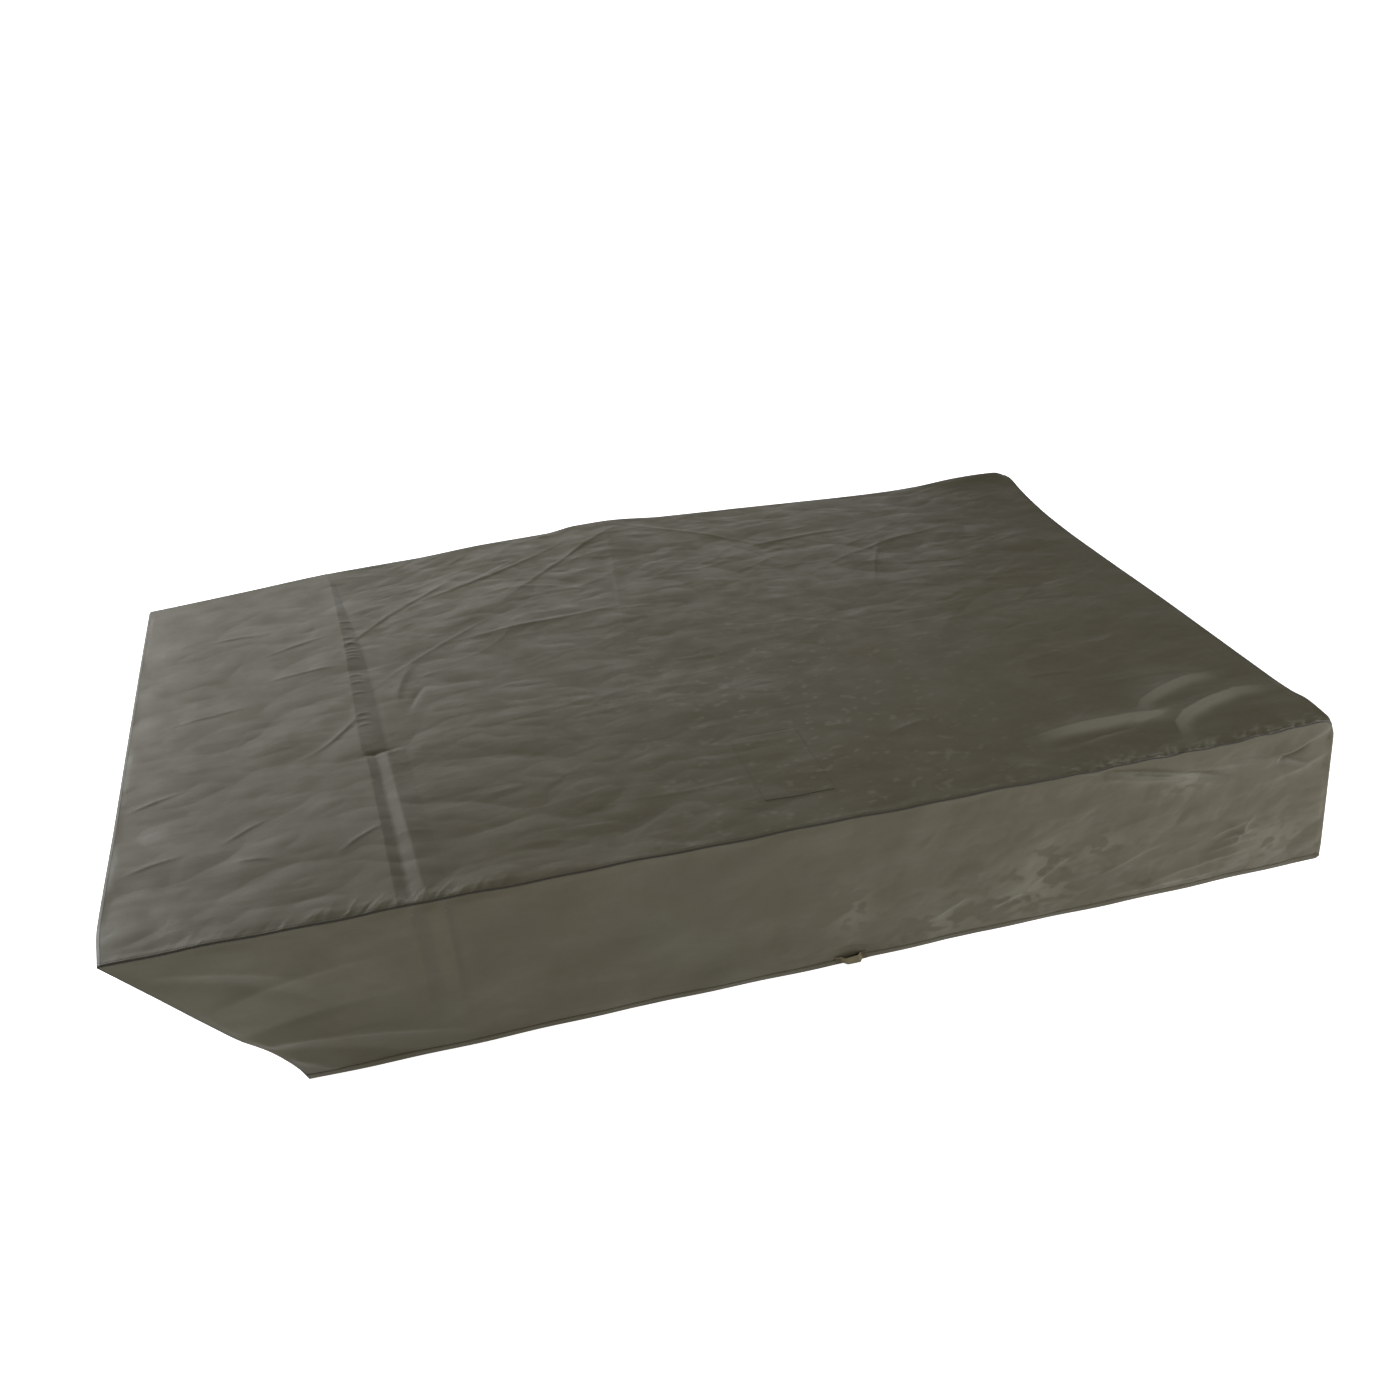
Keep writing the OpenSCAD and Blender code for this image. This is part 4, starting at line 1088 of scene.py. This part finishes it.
def peg_loop(side, flip):
    along, up = np.meshgrid(steps(-LOOP_LEN / 2, LOOP_LEN / 2, 0.0004),
                            steps(LOOP_UP, LOOP_UP + LOOP_W, 0.0012), indexing="ij")
    sewn_down = LOOP_LEN / 2 - LOOP_END
    lift = LOOP_GAP * smooth(sewn_down, sewn_down - LOOP_SLOPE, abs(along))
    ribs = 0.00010 * np.sin(along / RIB_PITCH * 2 * math.pi)
    selvedge = 0.00018 * (bell(up, LOOP_UP + SELVEDGE_IN, 0.0008)
                          + bell(up, LOOP_UP + LOOP_W - SELVEDGE_IN, 0.0008))
    waves = 0.0004 * np.sin(along * 90 + up * 160)
    grid = beside_hem(side, along, up, 0.0026 + lift + ribs + selvedge + waves)
    loop = grid_object(f"{side}_peg_loop", grid, "sack", webbing_skin, 0.0012, None, flip)
    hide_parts(f"peg_loop_{side}")


for side, flip in (("front", False), ("back", True), ("foot", True), ("head", False)):
    peg_loop(side, flip)


# ---- Zips ----

COIL_W, COIL_T, COIL_GAP, COIL_PITCH = 0.0032, 0.0030, 0.0006, 0.0013
ZIP_X, WIRE_R = -0.0005, 0.00036
COIL_OUT = COIL_GAP + COIL_W
SLIDER_LEN, BOX_H, STOP_H, PIN_H = 0.012, 0.005, 0.004, 0.010
BOX_Z = SILL_TOP + 0.001
PARK_Z = BOX_Z + BOX_H + 0.0005 + SLIDER_LEN / 2
PIN_Z = PARK_Z + SLIDER_LEN / 2 + 0.0015
COIL_TOP = -VALANCE_H - 0.002 - STOP_H - 0.0002      # just below the top stops


def zip_point(side, a, out, z):
    """out is outboard from the zip's centre line."""
    return head_points(a, side * (ZIP_Y + out), z)


def coil(name, node, body, side, centre, z0, z1):
    """A nylon coil: one long helix of flattened loops."""
    per_turn, sides = 12, 5
    n = int((z1 - z0 - 2 * WIRE_R) / COIL_PITCH * per_turn)
    t = np.arange(n + 1) / per_turn * 2 * math.pi
    spine = np.stack([ZIP_X + (COIL_T / 2 - WIRE_R) * np.cos(t), centre + (COIL_W / 2 - WIRE_R) * np.sin(t),
                      z0 + WIRE_R + t / (2 * math.pi) * COIL_PITCH], axis=-1)
    along = np.gradient(spine, axis=0)
    along /= np.linalg.norm(along, axis=1, keepdims=True)
    out = np.stack([np.cos(t), np.sin(t), np.zeros_like(t)], axis=-1)
    up = np.cross(along, out)
    tube = circles(spine, WIRE_R, out, up, sides)
    points = row(zip_point(side, tube[..., 0], tube[..., 1], tube[..., 2])).reshape(-1, 3)
    faces = tube_faces(0, n + 1, sides)
    if side < 0:
        faces = [f[::-1] for f in faces]
    piece = mesh_object(name, points, faces, body, coil_skin)
    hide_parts(node)


def zip_tape(name, node, body, side, near, far, z0, z1, seed):
    """Woven tape beside a coil, with a corded edge under the coil's side and a thicker selvedge."""
    o, z = np.meshgrid(steps(near, far, 0.0012), steps(z0, z1, 0.003), indexing="ij")
    wave = 0.00022 * rough(o.shape, (0.0012, 0.003), (0.006, 0.014), seed)
    cordage = 0.00025 * bell(np.abs(o), COIL_OUT + 0.0008, 0.0006)
    p = zip_point(side, -0.0002 + wave * smooth(0, 0.004, np.abs(o) - COIL_OUT) + cordage, o, z)
    piece = grid_object(name, p, body, zip_tape_skin, TRIM_T, None, (far < near) != (side > 0))
    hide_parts(node)


ZIP_TAPE_W, CLEAR = 0.018, 0.0002     # CLEAR: left between a coil and its box or pin
for side, label in ((-1, "front"), (1, "back")):
    middle = COIL_GAP + COIL_W / 2
    coil(f"{label}_zip_coil", f"zip_coil_{label}", "sack", side, middle, BOX_Z + BOX_H + CLEAR, COIL_TOP)
    coil(f"{label}_flap_coil", f"flap_coil_{label}", "head_flap_body", side, -middle, PIN_Z + PIN_H + CLEAR,
         COIL_TOP)
    zip_tape(f"{label}_zip_tape", f"zip_tape_{label}", "sack", side, COIL_OUT, ZIP_INSET - 0.0024,
             SILL_TOP - 0.008, -VALANCE_H - 0.0003, 101)
    zip_tape(f"{label}_flap_tape", f"flap_tape_{label}", "head_flap_body", side, -COIL_OUT,
             -COIL_OUT - ZIP_TAPE_W, PIN_Z, HINGE_Z - 0.0042, 102)
for kind in ("zip_stop", "zip_box", "zip_pin", "slider", "pull_tab"):
    for label in ("front", "back"):
        metal_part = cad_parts[f"{kind}_{label}"]
        metal_part.data.materials.clear()
        metal_part.data.materials.append(metal_skin)


# ---- Stitching ----

def along_line(distance, gone, values):
    """Values at distances along a line whose points are gone from its start."""
    return np.stack([np.interp(distance, gone, values[:, k]) for k in range(3)], axis=-1)


def stitch_run(name, body, runs, skin, pitch=0.0042, long=0.0031, thick=0.00030):
    """Rows of stitches as little sunk-ended capsules. runs are (points, outward normals), and rings are a
    capsule's (share of its length, share of its thickness, lift)."""
    rings = ((0.0, 0.35, -0.5), (0.12, 0.85, 0.25), (0.5, 1.0, 0.55), (0.88, 0.85, 0.25), (1.0, 0.35, -0.5))
    sides = 5
    points, faces = [], []
    for line, normal in runs:
        gone = np.concatenate([[0], np.cumsum(np.linalg.norm(np.diff(line, axis=0), axis=1))])
        starts = np.arange(0, gone[-1] - long, pitch)
        if not len(starts):
            continue
        a, b = along_line(starts, gone, line), along_line(starts + long, gone, line)
        n = along_line(starts + long / 2, gone, normal)
        n /= np.linalg.norm(n, axis=1, keepdims=True)
        ahead = (b - a) / np.linalg.norm(b - a, axis=1, keepdims=True)
        aside = np.cross(n, ahead)
        shell = []
        for share, wide, lift in rings:
            shell.append(circles(a + (b - a) * share + n * (lift * thick), thick * wide, aside, n, sides))
        base = sum(len(p) for p in points)
        for i in range(len(starts)):
            faces += tube_faces(base + i * len(rings) * sides, len(rings), sides)
        points.append(np.stack(shell, axis=1).reshape(-1, 3))
    mesh_object(name, row(np.concatenate(points)), faces, body, skin)


def sewn(panel, a, b, out=0.0):
    """A line of stitching on a panel, from distances along and across it."""
    a, b = np.broadcast_arrays(np.asarray(a, float), np.asarray(b, float))
    line = on_panel(panel, a, b, out)
    return line, on_panel(panel, a, b, out + 0.001) - line


def thread_row(name, panel, a, b, out=0.0002, body="sack"):
    stitch_run(name, body, [sewn(panel, a, b, out)], thread_skin)


STITCH_STEP = 0.003      # spacing of the points that a row of stitches follows
along_seam = steps(0.004, ROOF_LEN - 0.004, STITCH_STEP)
# A row of very dark thread laid along the front seam's groove: a painted shadow line where the seam's shade
# falls.
stitch_run("front_seam_shadow_cord", "sack", [sewn("front_wall_cloth", along_seam, 0.0012, 0.0006)], dark_thread,
           0.0046, 0.0045, 0.0010)
thread_row("front_seam_stitching", "roof_cloth", along_seam, 0.0052)
thread_row("back_seam_stitching", "back_wall_cloth", along_seam, 0.0060)
thread_row("foot_seam_stitching", "roof_cloth", 0.0056, steps(0.006, ROOF_ACROSS - 0.006, STITCH_STEP))
thread_row("head_seam_stitching", "roof_cloth", ROOF_LEN - 0.010,
           steps(0.006, ROOF_ACROSS - 0.012, STITCH_STEP))
on_hem = HEM_OUT + 0.0002
for label in ("front", "back"):
    thread_row(f"{label}_hem_stitching", f"{label}_wall_cloth", along_seam, WALL_UP - HEM_W + HEM_ROW, on_hem)
thread_row("foot_hem_stitching", "foot_wall_cloth", FOOT_SLOPE - HEM_W + HEM_ROW,
           steps(0.004, FOOT_W - 0.004, STITCH_STEP), on_hem)
thread_row("head_hem_stitching", "sill_cloth", steps(0.004, 2 * side_x(0) - 0.010, STITCH_STEP),
           sill_down - HEM_W + HEM_ROW, on_hem)
thread_row("flap_hem_stitching", "flap_cloth", steps(0.002, 2 * FLAP_HALF - 0.002, STITCH_STEP),
           flap_down - HEM_W + HEM_ROW, on_hem, "head_flap_body")
thread_row("binding_stitching", "valance_cloth",
           steps(edge_in + 0.002, 2 * side_x(0) - edge_in - 0.002, STITCH_STEP), BINDING_TOP + 0.0018, 0.0020)

# Two rows on the hook strip and two on the loop strip
rows_in = (0.0016, STRIP_W - 0.0016)
along_strip = steps(-strip_half, strip_half, STITCH_STEP)
stitch_run("loop_strip_stitching", "sack",
           [sewn("sill_cloth", sill_mid + along_strip, strip_top + d, 0.0012) for d in rows_in], thread_skin)
stitch_run("hook_strip_stitching", "head_flap_body",
           [sewn("flap_cloth", flap_mid + along_strip, flap_down - STRIP_UP - d, 0.0002) for d in rows_in],
           thread_skin)

# The patch: a dark row along its front edge, and cloth-coloured rows on its other three
p0, p1 = PATCH_A + 0.002, PATCH_A + PATCH_LEN - 0.002
q0, q1 = PATCH_IN + 0.002, PATCH_IN + PATCH_W - 0.002
patch_along, patch_in = steps(p0, p1, STITCH_STEP), steps(q0, q1, STITCH_STEP)
stitch_run("patch_front_stitching", "sack", [sewn("roof_cloth", patch_along, q0, 0.0002)], dark_thread,
           0.0036, 0.0033, 0.00050)
stitch_run("patch_side_stitching", "sack",
           [sewn("roof_cloth", a, b, 0.0001) for a, b in ((p0, patch_in), (p1, patch_in), (patch_along, q1))],
           thread_skin)


def tack_rows(side):
    """Bar tacks across both ends of a peg loop."""
    up = steps(LOOP_UP + SELVEDGE_IN, LOOP_UP + LOOP_W - SELVEDGE_IN, 0.001)
    runs = []
    for end in (-1, 1):
        for k in range(5):
            along = np.full_like(up, end * (LOOP_LEN / 2 - 0.0015 - 0.0018 * k))
            line = beside_hem(side, along, up, 0.0028)
            runs.append((line, beside_hem(side, along, up, 0.0038) - line))
    return runs


for side in ("front", "back", "foot", "head"):
    stitch_run(f"{side}_loop_tacks", "sack", tack_rows(side), dark_thread, 0.0022, 0.0020, 0.00032)


# ---- Camera, light, floor ----

CAMERA_AT = (-0.635, -2.092, 1.622)
CAMERA_TURN, CAMERA_TILT = 17.53, 32.31      # degrees right of +Y, and down
LENS_MM, SENSOR_MM = 30.86, 36.0


def make_camera():
    data = bpy.data.cameras.new("camera")
    data.lens, data.sensor_width = LENS_MM, SENSOR_MM
    camera = new_object("camera", data)
    camera.location = row(CAMERA_AT)
    camera.rotation_euler = (math.radians(90 - CAMERA_TILT), 0, math.radians(-CAMERA_TURN))
    bpy.context.scene.camera = camera


def area_light(name, at, aim, size, power, tint=(1, 1, 1)):
    data = bpy.data.lights.new(name, "AREA")
    data.shape, data.size, data.size_y = "RECTANGLE", size[0], size[1]
    data.energy, data.color = power, tint
    light = new_object(name, data)
    light.location = at
    light.rotation_euler = (Vector(aim) - Vector(at)).to_track_quat("-Z", "Y").to_euler()


def make_stage():
    size, z = 120.0, -0.0005
    mesh = bpy.data.meshes.new("studio_floor")
    corners = [(-size, -size, z), (size, -size, z), (size, size, z), (-size, size, z)]
    mesh.from_pydata(corners, [], [(0, 1, 2, 3)])
    skin = Skin("studio_floor", (0.86, 0.86, 0.86), 0.9)
    skin.set({"Specular IOR Level": 0.1, "Emission Color": (1, 1, 1, 1), "Emission Strength": 0.82})
    floor = new_object("studio_floor", mesh, skin.material)
    world = bpy.data.worlds.new("studio")
    world.use_nodes = True
    world.node_tree.nodes["Background"].inputs["Color"].default_value = (1, 1, 1, 1)
    world.node_tree.nodes["Background"].inputs["Strength"].default_value = 0.30
    bpy.context.scene.world = world


make_camera()
make_stage()
for light in (("softbox_left", (-4.2, 1.6, 2.2), (-0.7, 0, 0.3), (2.2, 1.8), 157, (0.93, 0.985, 1.10)),
              ("softbox_back_left", (-3.4, 3.4, 2.6), (-0.7, 0, 0.3), (2.4, 1.8), 94),
              ("softbox_back", (-2.2, 4.4, 3.0), (-0.7, 0, 0.3), (2.4, 1.8), 41),
              ("softbox_back_middle", (-0.2, 4.4, 1.9), (0, 0, 0.3), (2.2, 1.4), 28),
              ("softbox_back_right", (1.8, 4.2, 1.9), (0.6, 0, 0.3), (2.2, 1.4), 18),
              ("fill_right", (3.6, -2.0, 1.2), (0.8, -0.5, 0.2), (1.8, 1.4), 66),
              ("fill_front_right", (2.4, -3.0, 1.5), (0.8, -0.5, 0.2), (1.8, 1.4), 31),
              ("fill_front", (-0.6, -4.5, 2.2), (0, 0, 0.2), (2.6, 1.6), 10)):
    area_light(*light)
bpy.context.scene.view_settings.view_transform = "Standard"
